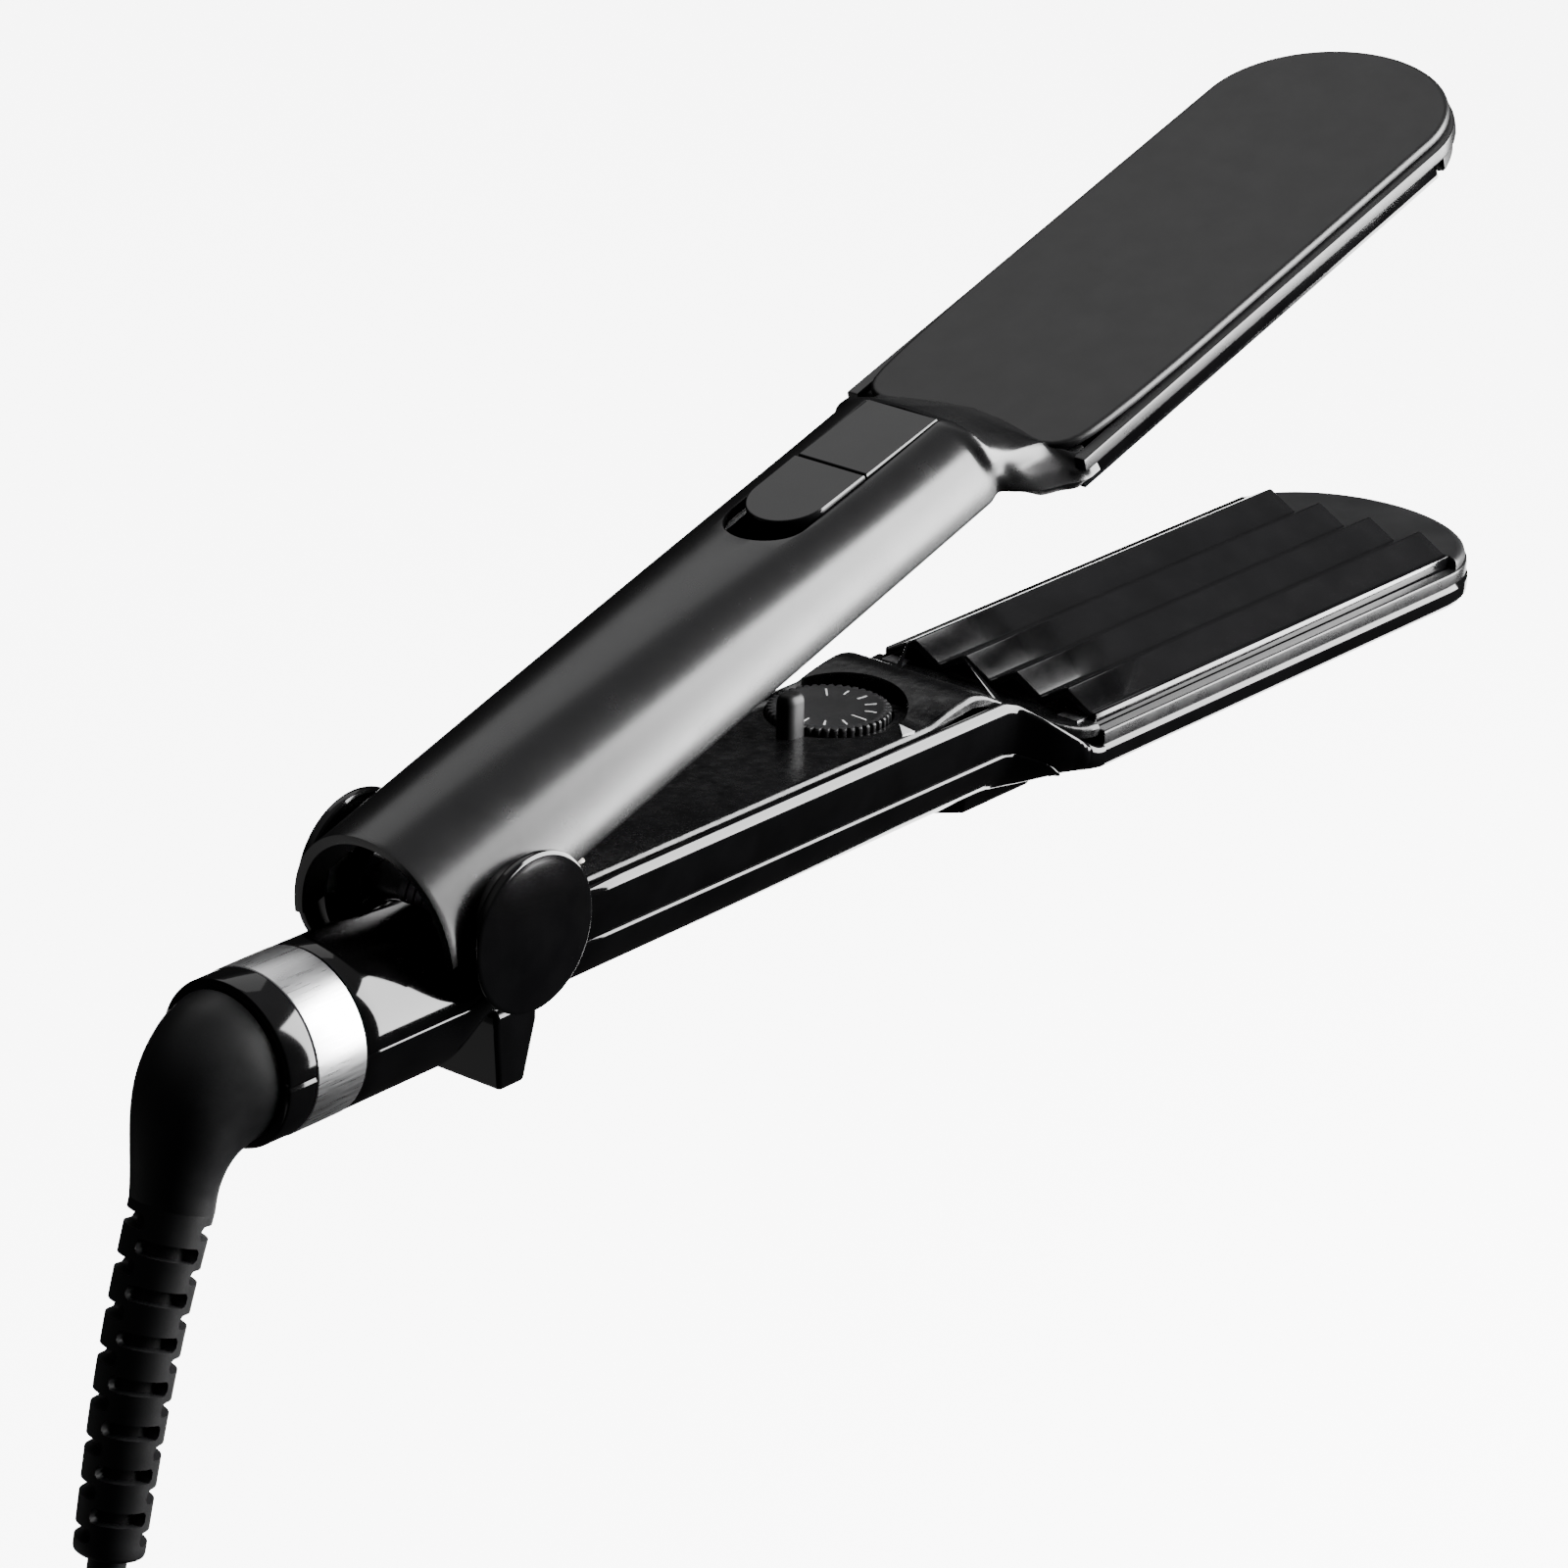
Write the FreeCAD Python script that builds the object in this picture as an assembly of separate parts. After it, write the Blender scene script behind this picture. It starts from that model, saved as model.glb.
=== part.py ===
import FreeCAD, Part
import math
import os

# Salon hair crimper with a wide head. Millimetres, +X from the cord end to the tip, +Y left, +Z up.
# Everything is drawn about the hinge axis (x = 0, z = 0) and moved to the grip's middle on export.
# The upper arm is drawn closed, parallel to the lower one, and then swung open by OPEN_ANGLE.

V = FreeCAD.Vector

# ---- driving dimensions ----
GRIP_X = 70.0            # the middle of the grip lies this far in front of the hinge axis
OPEN_ANGLE = 17.5        # degrees between the arms when the spring holds them open
WALL = 2.0               # wall of the moulded shells
HALF = 19.4              # half width of both handles
TOP_Z = 3.0              # top edge of the lower handle
SIDE_Z = -2.0            # below this the lower handle's sides curve under
FLOOR_Z = -23.0          # underside of the lower handle
SEAM_Z = -8.7            # joint between the main shell and the bottom cover
HINGE_HALF = 16.4        # half width of the lower arm between the hinge cheeks
HANDLE_X0 = 16.8         # full width starts here, clear of the cheeks
NECK_X = 141.0           # the handles end and the necks begin
HEAD_X = 157.0           # the heads begin
ROUND_X = 275.5          # the heads' straight sides end
TIP_X = 299.0            # tip of the heads
HEAD_HALF = 29.3         # half width of the heads
PITCH = 12.73            # ridge pitch of both plates
RIDGE = 3.6              # ridge height
PLATE_X0 = 158.0         # the ridges' rear ends
PLATE_X1 = 278.0         # the ridges' front ends
PLATE_HALF = 26.3        # half width of the plates
SHEET = 1.9              # thickness of the plates
MESH_GAP = 0.6           # gap between the closed plates
BARREL_R = 15.7          # rear barrel
BARREL_Z = -13.4         # height of the barrel's axis, which is also the swivel's axis
BAND_X = (-49.1, -36.8)  # chrome band
COLLAR_X = -56.0         # rear end of the end collar
CAP_R = 15.2             # hinge cap discs
CAP_Y = (20.2, 23.3)     # inner and outer face of a cap disc
PIN_R = 4.0              # hinge pin
RUN = 0.05               # radial running clearance
DIAL_X = 112.0           # temperature dial
DIAL_Y = 3.1
DIAL_R = 12.1
DIAL_TOP = 4.2
POST_X = 96.6            # guide post
CORD_D = 7.0             # mains cord
RIB_PITCH = 8.1          # spacing of the strain relief's ribs
HANK_TOP = -124.0        # top of the put-away hank
HANK_X = -88.8           # middle of the hank
HANK_RUN = 108.0         # straight length between the hank's folds
FOLD_R = 21.0            # radius of the innermost fold's middle line, three cord diameters

ORIGIN = V(-GRIP_X, 0, 0)


# ---- helpers ----
def save(node, shape, upper=False):
    """Write one node, with the upper arm's nodes swung open first."""
    part = shape.copy()
    if upper:
        part.rotate(V(0, 0, 0), V(0, 1, 0), -OPEN_ANGLE)
    part.translate(ORIGIN)
    part.exportStep("parts/" + node + ".step")
    print(node, "volume", round(part.Volume), "valid", part.isValid(), "solids", len(part.Solids))


def box(x0, x1, y0, y1, z0, z1):
    return Part.makeBox(x1 - x0, y1 - y0, z1 - z0, V(x0, y0, z0))


def rod(radius, start, end):
    line = V(*end) - V(*start)
    return Part.makeCylinder(radius, line.Length, V(*start), line)


def tube(outer, inner, start, end):
    return rod(outer, start, end).cut(rod(inner, start, end))


def fuse(shapes):
    first = shapes[0]
    if len(shapes) > 1:
        first = first.fuse(shapes[1:])
    return first.removeSplitter()


def prism_y(points, half):
    """A prism across the object from points given as (x, z)."""
    wire = Part.makePolygon([V(x, -half, z) for x, z in points + points[:1]])
    return Part.Face(wire).extrude(V(0, 2 * half, 0))


def prism_x(points, x0, x1):
    """A prism along the object from points given as (y, z)."""
    wire = Part.makePolygon([V(x0, y, z) for y, z in points + points[:1]])
    return Part.Face(wire).extrude(V(x1 - x0, 0, 0))


def arch_points(x, half, base, rise, power, count=15):
    """Points of a superellipse arch that stands on the level base; rise may be negative."""
    points = []
    for i in range(count):
        t = math.pi * i / (count - 1)
        c, s = math.cos(t), math.sin(t)
        y = half * math.copysign(abs(c) ** (2 / power), c)
        points.append(V(x, y, base + rise * abs(s) ** (2 / power)))
    return points


def arch_wire(x, half, edge, base, rise, power):
    """Arch, two upright sides from the level base to the level edge, and a straight closing line."""
    points = arch_points(x, half, base, rise, power)
    curve = Part.BSplineCurve()
    curve.interpolate(points)
    left, right = V(x, half, edge), V(x, -half, edge)
    lines = [Part.makeLine(points[-1], right), Part.makeLine(right, left), Part.makeLine(left, points[0])]
    return Part.Wire([curve.toShape()] + lines)


def loft(sections):
    """A solid through sections given as (x, half, edge, base, rise, power)."""
    return Part.makeLoft([arch_wire(*s) for s in sections], True, True)


def inset(sections, wall, open_by):
    """The same sections made smaller by the wall, and longer past the open edge."""
    inner = []
    for x, half, edge, base, rise, power in sections:
        side = math.copysign(wall, rise)
        inner.append((x, half - wall, edge - math.copysign(open_by, rise), base, rise - side, power))
    return inner


def plan(half, x0, z0, z1, tip=TIP_X):
    """A head-shaped slab: straight sides, then half an ellipse to the tip."""
    ellipse = Part.Ellipse(V(ROUND_X, half, z0), V(tip, 0, z0), V(ROUND_X, 0, z0))
    nose = Part.ArcOfEllipse(ellipse, 0, math.pi).toShape()
    a, b = V(ROUND_X, half, z0), V(x0, half, z0)
    c, d = V(x0, -half, z0), V(ROUND_X, -half, z0)
    wire = Part.Wire([nose, Part.makeLine(d, c), Part.makeLine(c, b), Part.makeLine(b, a)])
    return Part.Face(wire).extrude(V(0, 0, z1 - z0))


def nose_block(half, x0, z0, z1, tip):
    """Only the part of a head-shaped slab that lies in front of x0."""
    return plan(half, 200.0, z0, z1, tip).common(box(x0, tip + 5, -half - 5, half + 5, z0 - 1, z1 + 1))


def rounded(shape, radius, keep):
    """Fillet the edges whose middle passes the test."""
    edges = [e for e in shape.Edges if keep(e.CenterOfMass, e)]
    return shape.makeFillet(radius, edges)


def at_level(z, x_min):
    """Test for edges that lie at one height, in front of x_min."""
    def keep(point, edge):
        bounds = edge.BoundBox
        return abs(bounds.ZMin - z) < 0.01 and abs(bounds.ZMax - z) < 0.01 and point.x > x_min
    return keep


def screw(x, y, z, length, up):
    """A countersunk screw whose head's outer face is at the given point."""
    head = Part.makeCone(2.6, 1.4, 1.6, V(x, y, z), V(0, 0, up))
    shank = Part.makeCylinder(1.25, length, V(x, y, z), V(0, 0, up))
    slot = box(x - 3, x + 3, y - 0.4, y + 0.4, z - 0.7, z + 0.7)
    return fuse([head, shank]).cut(slot)


# ---- lower arm ----
HANDLE_LOW = [
    (HANDLE_X0, HALF, TOP_Z, SIDE_Z, FLOOR_Z - SIDE_Z, 2.1),
    (NECK_X, HALF, TOP_Z, SIDE_Z, FLOOR_Z + 0.6 - SIDE_Z, 2.2),
]
NECK_LOW = [
    (NECK_X, HALF, TOP_Z, SIDE_Z, FLOOR_Z + 0.6 - SIDE_Z, 2.2),
    (150.0, 24.2, -3.2, -5.0, -14.6, 2.8),
    (HEAD_X, HEAD_HALF, -9.4, -9.6, -5.9, 4.0),
]
HINGE_LOW = [
    (-12.0, HINGE_HALF, 1.0, -4.0, -18.5, 2.1),
    (HANDLE_X0, HINGE_HALF, TOP_Z, -4.0, -19.0, 2.1),
]
SEAM = [(-60, BARREL_Z), (-12, BARREL_Z), (-4, SEAM_Z), (142, SEAM_Z), (152.5, -19), (152.5, -45), (-60, -45)]


def lower_outer():
    barrel = rod(BARREL_R, (BAND_X[1], 0, BARREL_Z), (6.0, 0, BARREL_Z))
    neck_of_barrel = rod(BARREL_R - 1.2, (BAND_X[0] - 4, 0, BARREL_Z), (BAND_X[1], 0, BARREL_Z))
    head = rounded(plan(HEAD_HALF, HEAD_X, -15.5, -9.4), 4.5, at_level(-15.5, HEAD_X + 0.5))
    ears = [rod(7.5, (0, s * (HINGE_HALF - 2.4), 0), (0, s * HINGE_HALF, 0)) for s in (-1, 1)]
    return fuse([neck_of_barrel, barrel, loft(HINGE_LOW), loft(HANDLE_LOW), loft(NECK_LOW), head] + ears)


def lower_inner():
    barrel = rod(BARREL_R - 4.2, (BAND_X[0] - 5, 0, BARREL_Z), (8.0, 0, BARREL_Z))
    hinge = loft(inset([(-9.8,) + HINGE_LOW[0][1:], (20.0,) + HINGE_LOW[1][1:]], 2.4, 4))
    handle = loft(inset([(18.8,) + HANDLE_LOW[0][1:], HANDLE_LOW[1]], WALL, 4))
    neck = loft([
        (NECK_X, HALF - WALL, TOP_Z + 4, SIDE_Z, FLOOR_Z + 2.6 - SIDE_Z, 2.2),
        (150.0, 21.0, 2.0, -5.0, -12.4, 2.8),
        (HEAD_X, 26.6, -6.0, -9.6, -3.9, 4.0),
    ])
    head = plan(27.2, HEAD_X, -13.5, -6.0, TIP_X - 2.1)
    return fuse([barrel, hinge, handle, neck, head])


def lower_shell_parts():
    """The moulded lower casing, split at the seam into the main shell and the bottom cover."""
    casing = lower_outer().cut(lower_inner())
    casing = casing.cut(rod(PIN_R, (0, -30, 0), (0, 30, 0)))
    casing = casing.cut(box(153.9, HEAD_X + 0.1, -40, 40, -9.4, 0))
    under = prism_y(SEAM, 40)
    cover = casing.common(under)
    shell = casing.cut(under)
    for x, z in SCREW_POINTS:
        cover = cover.cut(Part.makeCylinder(2.8, 1.7, V(x, 0, z), V(0, 0, 1)))
        cover = cover.cut(Part.makeCylinder(1.3, 6, V(x, 0, z), V(0, 0, 1)))
    return shell, cover


SCREW_POINTS = [(30.0, -22.97), (88.0, -22.7), (134.0, -22.5)]


def lower_deck():
    """Inner cover: a level deck, a hump in front of the dial and a slope down to the head."""
    half = HALF - WALL - 0.15
    profile = [(19.2, 1.0), (19.2, TOP_Z), (117, TOP_Z), (122, 4.3), (128, 6.2), (133, 6.0), (153.4, -4.9),
               (157.4, -4.9), (157.4, -6.2), (152, -6.2), (132, 2.6), (122, 1.0)]
    deck = prism_y(profile, half)
    deck = rounded(deck, 1.0, lambda p, e: abs(abs(p.y) - half) < 0.01 and 19.3 < p.x < 117 and p.z > 2.9)
    deck = deck.cut(rod(15.2, (DIAL_X, DIAL_Y, 2.2), (DIAL_X, DIAL_Y, 12)).common(box(80, 160, -16, 16.3, 0, 12)))
    deck = deck.cut(rod(DIAL_R + 0.5, (DIAL_X, DIAL_Y, 0), (DIAL_X, DIAL_Y, 12)))
    return deck.cut(post_stem()).cut(dial_pointer()).cut(rod(1.6, (24, -10.5, 0), (24, -10.5, 5)))


def post_stem():
    """Rounded bar that the guide post is cut from."""
    bar = box(POST_X - 2.7, POST_X + 2.7, -2.2, 2.2, -1.5, 11.6)
    return bar.makeFillet(1.9, [e for e in bar.Edges if e.BoundBox.ZLength > 10])


def guide_post():
    return rounded(post_stem(), 1.6, at_level(11.6, 0))


def temperature_dial():
    """Thumbwheel with a serrated rim; its spindle is a separate piece."""
    teeth = 44
    wheel = rod(DIAL_R - 0.9, (DIAL_X, DIAL_Y, 0.2), (DIAL_X, DIAL_Y, DIAL_TOP))
    lugs = []
    for i in range(teeth):
        a = 2 * math.pi * i / teeth
        x, y = DIAL_X + (DIAL_R - 1.0) * math.cos(a), DIAL_Y + (DIAL_R - 1.0) * math.sin(a)
        lug = box(-0.2, 1.0, -0.42, 0.42, 0.4, DIAL_TOP - 0.3)
        lug.rotate(V(0, 0, 0), V(0, 0, 1), math.degrees(a))
        lug.translate(V(x, y, 0))
        lugs.append(lug)
    return fuse([wheel] + lugs).cut(rod(3.0, (DIAL_X, DIAL_Y, -1), (DIAL_X, DIAL_Y, 2.4)))


def dial_spindle():
    return rod(3.0, (DIAL_X, DIAL_Y, -6.8), (DIAL_X, DIAL_Y, 2.4))


def potentiometer():
    can = rod(7.5, (DIAL_X, DIAL_Y, -13.0), (DIAL_X, DIAL_Y, -7.4))
    bush = tube(4.6, 3.0 + RUN, (DIAL_X, DIAL_Y, -7.4), (DIAL_X, DIAL_Y, -1.2))
    return fuse([can, bush])


def dial_pointer():
    """Small white triangle let into the deck beside the dial, pointing at it."""
    tip, left, right = V(110.2, -12.6, 2.6), V(112.0, -15.6, 2.6), V(108.4, -15.6, 2.6)
    face = Part.Face(Part.makePolygon([tip, left, right, tip]))
    return face.extrude(V(0, 0, 0.5))


def control_board():
    board = box(34, 128, -12.0, 12.0, -15.2, -13.6)
    relay = box(40, 58, -9, 6, -13.6, -5.0)
    capacitor = rod(4.5, (72, 2, -13.6), (72, 2, -4.0))
    chip = box(84, 94, -5, 5, -13.6, -11.6)
    sockets = [box(x, x + 7, 8, 12, -13.6, -8.5) for x in (66, 80, 94)]
    return fuse([board, relay, capacitor, chip] + sockets)


def board_posts():
    """Four pillars under the control board, standing on the bottom cover's inner side."""
    pillars = []
    cavity = lower_inner()
    for x in (38.0, 124.0):
        for y in (-9.5, 9.5):
            pillars.append(rod(2.0, (x, y, -22.0), (x, y, -15.2)).common(cavity))
    return Part.makeCompound(pillars)


def ridge_line(lift):
    """The zigzag across a plate: a valley at each edge and four ridges between."""
    points = [(-PLATE_HALF, -RIDGE + lift)]
    for i in range(9):
        y = (i - 4) * PITCH / 2
        points.append((y, -RIDGE * (i % 2 == 0) + lift))
    points.append((PLATE_HALF, -RIDGE + lift))
    return points


def corrugated(low, high):
    """Sheet between two zigzags, along the plate's whole length."""
    outline = ridge_line(high) + list(reversed(ridge_line(low)))
    return prism_x(outline, PLATE_X0, PLATE_X1)


def lower_plate():
    sheet = corrugated(-SHEET, 0.0)
    walls = []
    for side in (-1, 1):
        y0, y1 = sorted((side * (PLATE_HALF - 1.2), side * PLATE_HALF))
        walls.append(box(PLATE_X0, PLATE_X1, y0, y1, -8.2, -RIDGE - 0.5))
    return fuse([sheet] + walls)


def lower_carrier():
    """Frame that holds the plate, with the smooth nose in front of it and a bar behind."""
    rim = plan(HEAD_HALF - 0.3, 154.0, -9.4, -6.3, TIP_X - 0.3)
    nose = nose_block(HEAD_HALF - 0.9, PLATE_X1 + 0.4, -6.3, -4.2, TIP_X - 0.8)
    nose = rounded(nose, 1.3, at_level(-4.2, ROUND_X + 6))
    well = box(PLATE_X0 - 0.2, PLATE_X1 + 0.2, -PLATE_HALF - 0.2, PLATE_HALF + 0.2, -12, -3)
    bar = box(154.0, 157.6, -17.0, 17.0, -9.4, -6.3)
    return fuse([rim.cut(bar), nose]).cut(well).cut(plate_clips(-6.3, -4.6))


def heater(z0, z1):
    """Flat ceramic heater with its two foil leads."""
    body = box(176, 262, -17, 17, z0, z1)
    leads = [box(168, 176, y - 1.5, y + 1.5, z0 + 0.4, z1 - 0.4) for y in (-8, 8)]
    return fuse([body] + leads)


def plate_clips(z0, z1):
    """Small spring clips at the plate's four corners."""
    clips = []
    for x0, x1 in ((154.6, 157.8), (278.2, 281.4)):
        for side in (-1, 1):
            y0, y1 = sorted((side * 19.5, side * 24.5))
            clips.append(box(x0, x1, y0, y1, z0, z1))
    return Part.makeCompound(clips)


def rear_foot():
    """Cross-wise fin under the hinge, with a rounded lower edge."""
    wedge = prism_y([(1.5, -24.0), (2.6, -35.6), (9.4, -35.6), (12.6, -24.0)], 11.5)
    wedge = rounded(wedge, 1.2, at_level(-35.6, 0))
    return wedge.cut(lower_outer())


def front_foot():
    pad = box(140.0, 161.5, -8.5, 8.5, -24.4, -14.0)
    pad = rounded(pad, 1.2, at_level(-24.4, 0))
    return pad.cut(lower_outer())


def chrome_band():
    return tube(BARREL_R + 0.15, BARREL_R - 1.2, (BAND_X[0], 0, BARREL_Z), (BAND_X[1], 0, BARREL_Z))


def end_collar():
    ring = tube(BARREL_R, BARREL_R - 1.2, (BAND_X[0] - 4, 0, BARREL_Z), (BAND_X[0], 0, BARREL_Z))
    lip = tube(BARREL_R, BARREL_R - 3.2, (COLLAR_X, 0, BARREL_Z), (BAND_X[0] - 4, 0, BARREL_Z))
    return fuse([ring, lip])


def swivel_socket():
    """Bearing ring clamped in the barrel, with the hub's groove."""
    ring = tube(11.4, 6.0 + RUN, (-52.0, 0, BARREL_Z), (-40.0, 0, BARREL_Z))
    groove = rod(8.0 + RUN, (-48.1, 0, BARREL_Z), (-43.9, 0, BARREL_Z))
    return ring.cut(groove)


def hinge_pin():
    return rod(PIN_R, (0, -CAP_Y[0], 0), (0, CAP_Y[0], 0))


def hinge_cap(side):
    disc = rod(CAP_R, (0, side * CAP_Y[0], 0), (0, side * CAP_Y[1], 0))
    outer = side * CAP_Y[1]
    edges = [e for e in disc.Edges if abs(e.CenterOfMass.y - outer) < 0.01 and e.BoundBox.ZLength > 20]
    return disc.makeFillet(0.9, edges)


def hinge_spring():
    """Torsion spring of square wire round the pin, drawn as closed rings joined by a bar, with two legs."""
    wire, radius = 0.75, 6.4
    rings = [tube(radius + wire, radius - wire, (0, y - wire, 0), (0, y + wire, 0)) for y in (-4, -2, 0, 2, 4)]
    bar = rod(0.5, (-radius, -4, 0), (-radius, 4, 0))
    legs = [rod(wire, (radius, -4, 0), (radius, -4, -13)), rod(wire, (radius, 4, 0), (radius, 4, 9))]
    return fuse(rings + [bar] + legs)


def pilot_lamp():
    return rod(1.6, (24, -10.5, 0.4), (24, -10.5, TOP_Z + 0.3))


def lower_wiring():
    """Live and neutral leads from the swivel to the board, and the heater's two leads."""
    leads = []
    for y in (-2.2, 2.2):
        leads.append(rod(1.1, (-39, y, BARREL_Z + 4), (12, y, BARREL_Z + 4)))
    for y in (-8.0, 8.0):
        leads.append(rod(1.0, (130, y, -11.2), (168, y, -11.2)))
    return Part.makeCompound(leads)


# ---- upper arm, drawn closed ----
EDGE_U = 3.6             # lower edge of the upper shell
HANDLE_UP = [
    (-18.0, 19.2, EDGE_U, EDGE_U + 0.1, 20.0, 2.05),
    (60.0, 19.3, EDGE_U, EDGE_U + 0.1, 18.4, 2.3),
    (139.0, 19.3, EDGE_U, EDGE_U + 0.1, 15.7, 2.8),
]
NECK_UP = [
    HANDLE_UP[-1],
    (147.0, 22.4, 3.0, 3.1, 12.2, 3.2),
    (153.5, 27.6, 0.8, 0.9, 8.0, 4.5),
    (158.0, 28.7, -0.4, -0.3, 7.7, 8.0),
]
HEAD_TOP = 7.4
HEAD_UNDER = 5.5


def upper_outer():
    slab = plan(27.4, 156.0, HEAD_UNDER, HEAD_TOP, TIP_X + 1.0)
    slab = rounded(slab, 0.8, at_level(HEAD_TOP, 157))
    cheeks = [tube(13.0, 5.0, (0, s * (HINGE_HALF + 0.4), 0), (0, s * 19.3, 0)) for s in (-1, 1)]
    return fuse([loft(HANDLE_UP), loft(NECK_UP), slab] + cheeks)


def upper_inner():
    rear = (-20.0,) + HANDLE_UP[0][1:]
    handle = loft(inset([rear, HANDLE_UP[1], HANDLE_UP[2]], WALL, 4))
    neck = loft(inset([HANDLE_UP[-1]], WALL, 4) + [
        (147.0, 19.6, -1.0, 3.1, 9.8, 3.2),
        (153.5, 23.6, -2.0, 0.9, 5.8, 4.5),
        (158.1, 25.6, -2.0, -0.3, 5.6, 8.0),
    ])
    return fuse([handle, neck])


def upper_shell():
    shell = upper_outer().cut(upper_inner())
    shell = shell.cut(rod(PIN_R + 1.0, (0, -30, 0), (0, 30, 0)))
    shell = shell.cut(box(155.2, 159, -30, 30, -3, 0.9))
    rake = prism_y([(-30, -20), (-30, 40), (-14.6, 40), (-18.2, EDGE_U), (-18.2, -20)], 40)
    shell = shell.cut(rake)
    return shell.cut(switch_slot())


def switch_slot():
    """Opening in the top of the handle for the window and the slider, rounded at the rear."""
    body = box(97.6, 138.6, -8.8, 8.8, 10, 30)
    return body.fuse(rod(8.8, (97.6, 0, 10), (97.6, 0, 30)))


def window_piece(x0, x1, top0, top1, round_rear):
    """A cap 17 mm wide with a slightly crowned top that falls from top0 to top1."""
    half = 8.5
    outline = [(x0, 13.5), (x0, top0), (x1, top1), (x1, 13.5)]
    body = prism_y(outline, half)
    if round_rear:
        nose = rod(half, (x0 + half, 0, 10), (x0 + half, 0, 30)).fuse(box(x0 + half, x1, -half, half, 10, 30))
        body = body.common(nose)
    return body


def switch_window():
    return window_piece(116.6, 138.3, 20.1, 19.5, False)


def power_slider():
    cap = window_piece(95.4, 116.0, 21.2, 20.4, True)
    flange = box(97.0, 114.5, -10.5, 10.5, 13.5, 15.0)
    stem = box(108.5, 112.5, -2, 2, 12.0, 13.6)
    return fuse([cap, flange, stem])


def switch_body():
    """Mains switch under the slider, held between the shell and the inner cover."""
    case = box(101.2, 126, -8, 8, 9.7, 13.2)
    return case.cut(box(102.2, 113.4, -2.4, 2.4, 10.6, 14))


def upper_cover():
    """Inner cover, set back to leave room for the dial and the guide post."""
    cover = prism_y([(20.0, 8.0), (20.0, 9.5), (140.0, 9.5), (140.0, 8.0)], 16.4)
    return cover.cut(box(POST_X - 7, POST_X + 7, -3.4, 3.4, 5, 12)).cut(upper_screws())


def upper_plate():
    sheet = corrugated(MESH_GAP, MESH_GAP + SHEET)
    walls = []
    for side in (-1, 1):
        y0, y1 = sorted((side * (PLATE_HALF - 1.2), side * PLATE_HALF))
        walls.append(box(PLATE_X0, PLATE_X1, y0, y1, MESH_GAP - RIDGE + 0.5, 4.2))
    return fuse([sheet] + walls)


def upper_carrier():
    rim = plan(HEAD_HALF - 0.1, 155.4, 2.6, HEAD_UNDER, TIP_X - 0.3)
    nose = nose_block(HEAD_HALF - 1.2, PLATE_X1 + 0.4, -2.0, 2.6, TIP_X - 1.4)
    nose = rounded(nose, 1.6, at_level(-2.0, ROUND_X + 6))
    well = box(PLATE_X0 - 0.2, PLATE_X1 + 0.2, -PLATE_HALF - 0.2, PLATE_HALF + 0.2, -3, 7)
    return fuse([rim, nose]).cut(well).cut(loft(NECK_UP).cut(box(158, 170, -40, 40, -10, 20)))


def hinge_bushes():
    y0, y1 = HINGE_HALF + 0.4, 19.3
    return Part.makeCompound([tube(5.0, PIN_R + RUN, (0, s * y0, 0), (0, s * y1, 0)) for s in (-1, 1)])


def upper_wiring():
    """Leads from the hinge to the switch and on to the upper heater."""
    leads = [rod(1.1, (14, y, 11.2), (101, y, 11.2)) for y in (-5.0, 5.0)]
    leads += [rod(1.0, (126, y, 10.8), (146, y, 10.8)) for y in (-6.0, 6.0)]
    return Part.makeCompound(leads)


def thermal_fuse(z):
    return rod(1.2, (222, -23.8, z), (236, -23.8, z))


def upper_screws():
    return Part.makeCompound([screw(x, 0, 8.0, 5.0, 1) for x in (30.0, 76.0, 134.0)])


def upper_bosses():
    """Screw pillars that hang from the inside of the upper shell."""
    pillars = []
    for x, top in ((30.0, 20.2), (76.0, 19.0), (134.0, 13.2)):
        pillars.append(tube(3.4, 1.3, (x, 0, 9.7), (x, 0, top)))
    return Part.makeCompound(pillars)


# ---- swivel, strain relief and cord ----
ELBOW_END = (-69.6, 0.0, -35.4)
RELIEF = [(-69.6, -35.4), (-72.9, -44.4), (-76.0, -53.5), (-79.0, -63.6), (-81.6, -73.6), (-84.9, -88.4),
          (-86.7, -97.0)]
CORD_ROUTE = [
    (-86.7, 0.0, -97.0),
    (-88.5, 0.0, -105.6),
    (-88.8, 0.4, -115.0),
    (-88.8, 0.0, -124.5),
]
TAIL_ROUTE = [
    (-88.8, 16.5, -284.0),
    (-88.8, 12.0, -299.0),
    (-88.8, 12.0, -314.0),
]


def turned_cone(radius0, radius1, start, end):
    line = V(*end) - V(*start)
    return Part.makeCone(radius0, radius1, line.Length, V(*start), line)


def swivel_elbow():
    """Rubber elbow: a cone on the barrel's axis, a domed knee and a slightly tapered tube down."""
    knee = (-67.8, 0.0, -12.2)
    cone = turned_cone(13.9, 8.9, (COLLAR_X - 0.6, 0, BARREL_Z), knee)
    ball = Part.makeSphere(8.8, V(*knee))
    down = turned_cone(8.6, 7.6, knee, ELBOW_END)
    elbow = fuse([cone, ball, down])
    return elbow.cut(box(COLLAR_X - 0.5, -20, -30, 30, -50, 20))


def swivel_hub():
    """Plastic hub that turns in the socket and carries the elbow."""
    stem = rod(6.0, (COLLAR_X - 0.5, 0, BARREL_Z), (-39.0, 0, BARREL_Z))
    flange = rod(8.0, (-48.0, 0, BARREL_Z), (-44.0, 0, BARREL_Z))
    return fuse([stem, flange])


def relief_place(distance):
    """Point and direction at a distance along the strain relief's centreline."""
    for (x0, z0), (x1, z1) in zip(RELIEF, RELIEF[1:]):
        length = math.hypot(x1 - x0, z1 - z0)
        if distance <= length:
            break
        distance -= length
    axis = V((x1 - x0) / length, 0, (z1 - z0) / length)
    return V(x0, 0, z0) + axis * distance, axis


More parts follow.
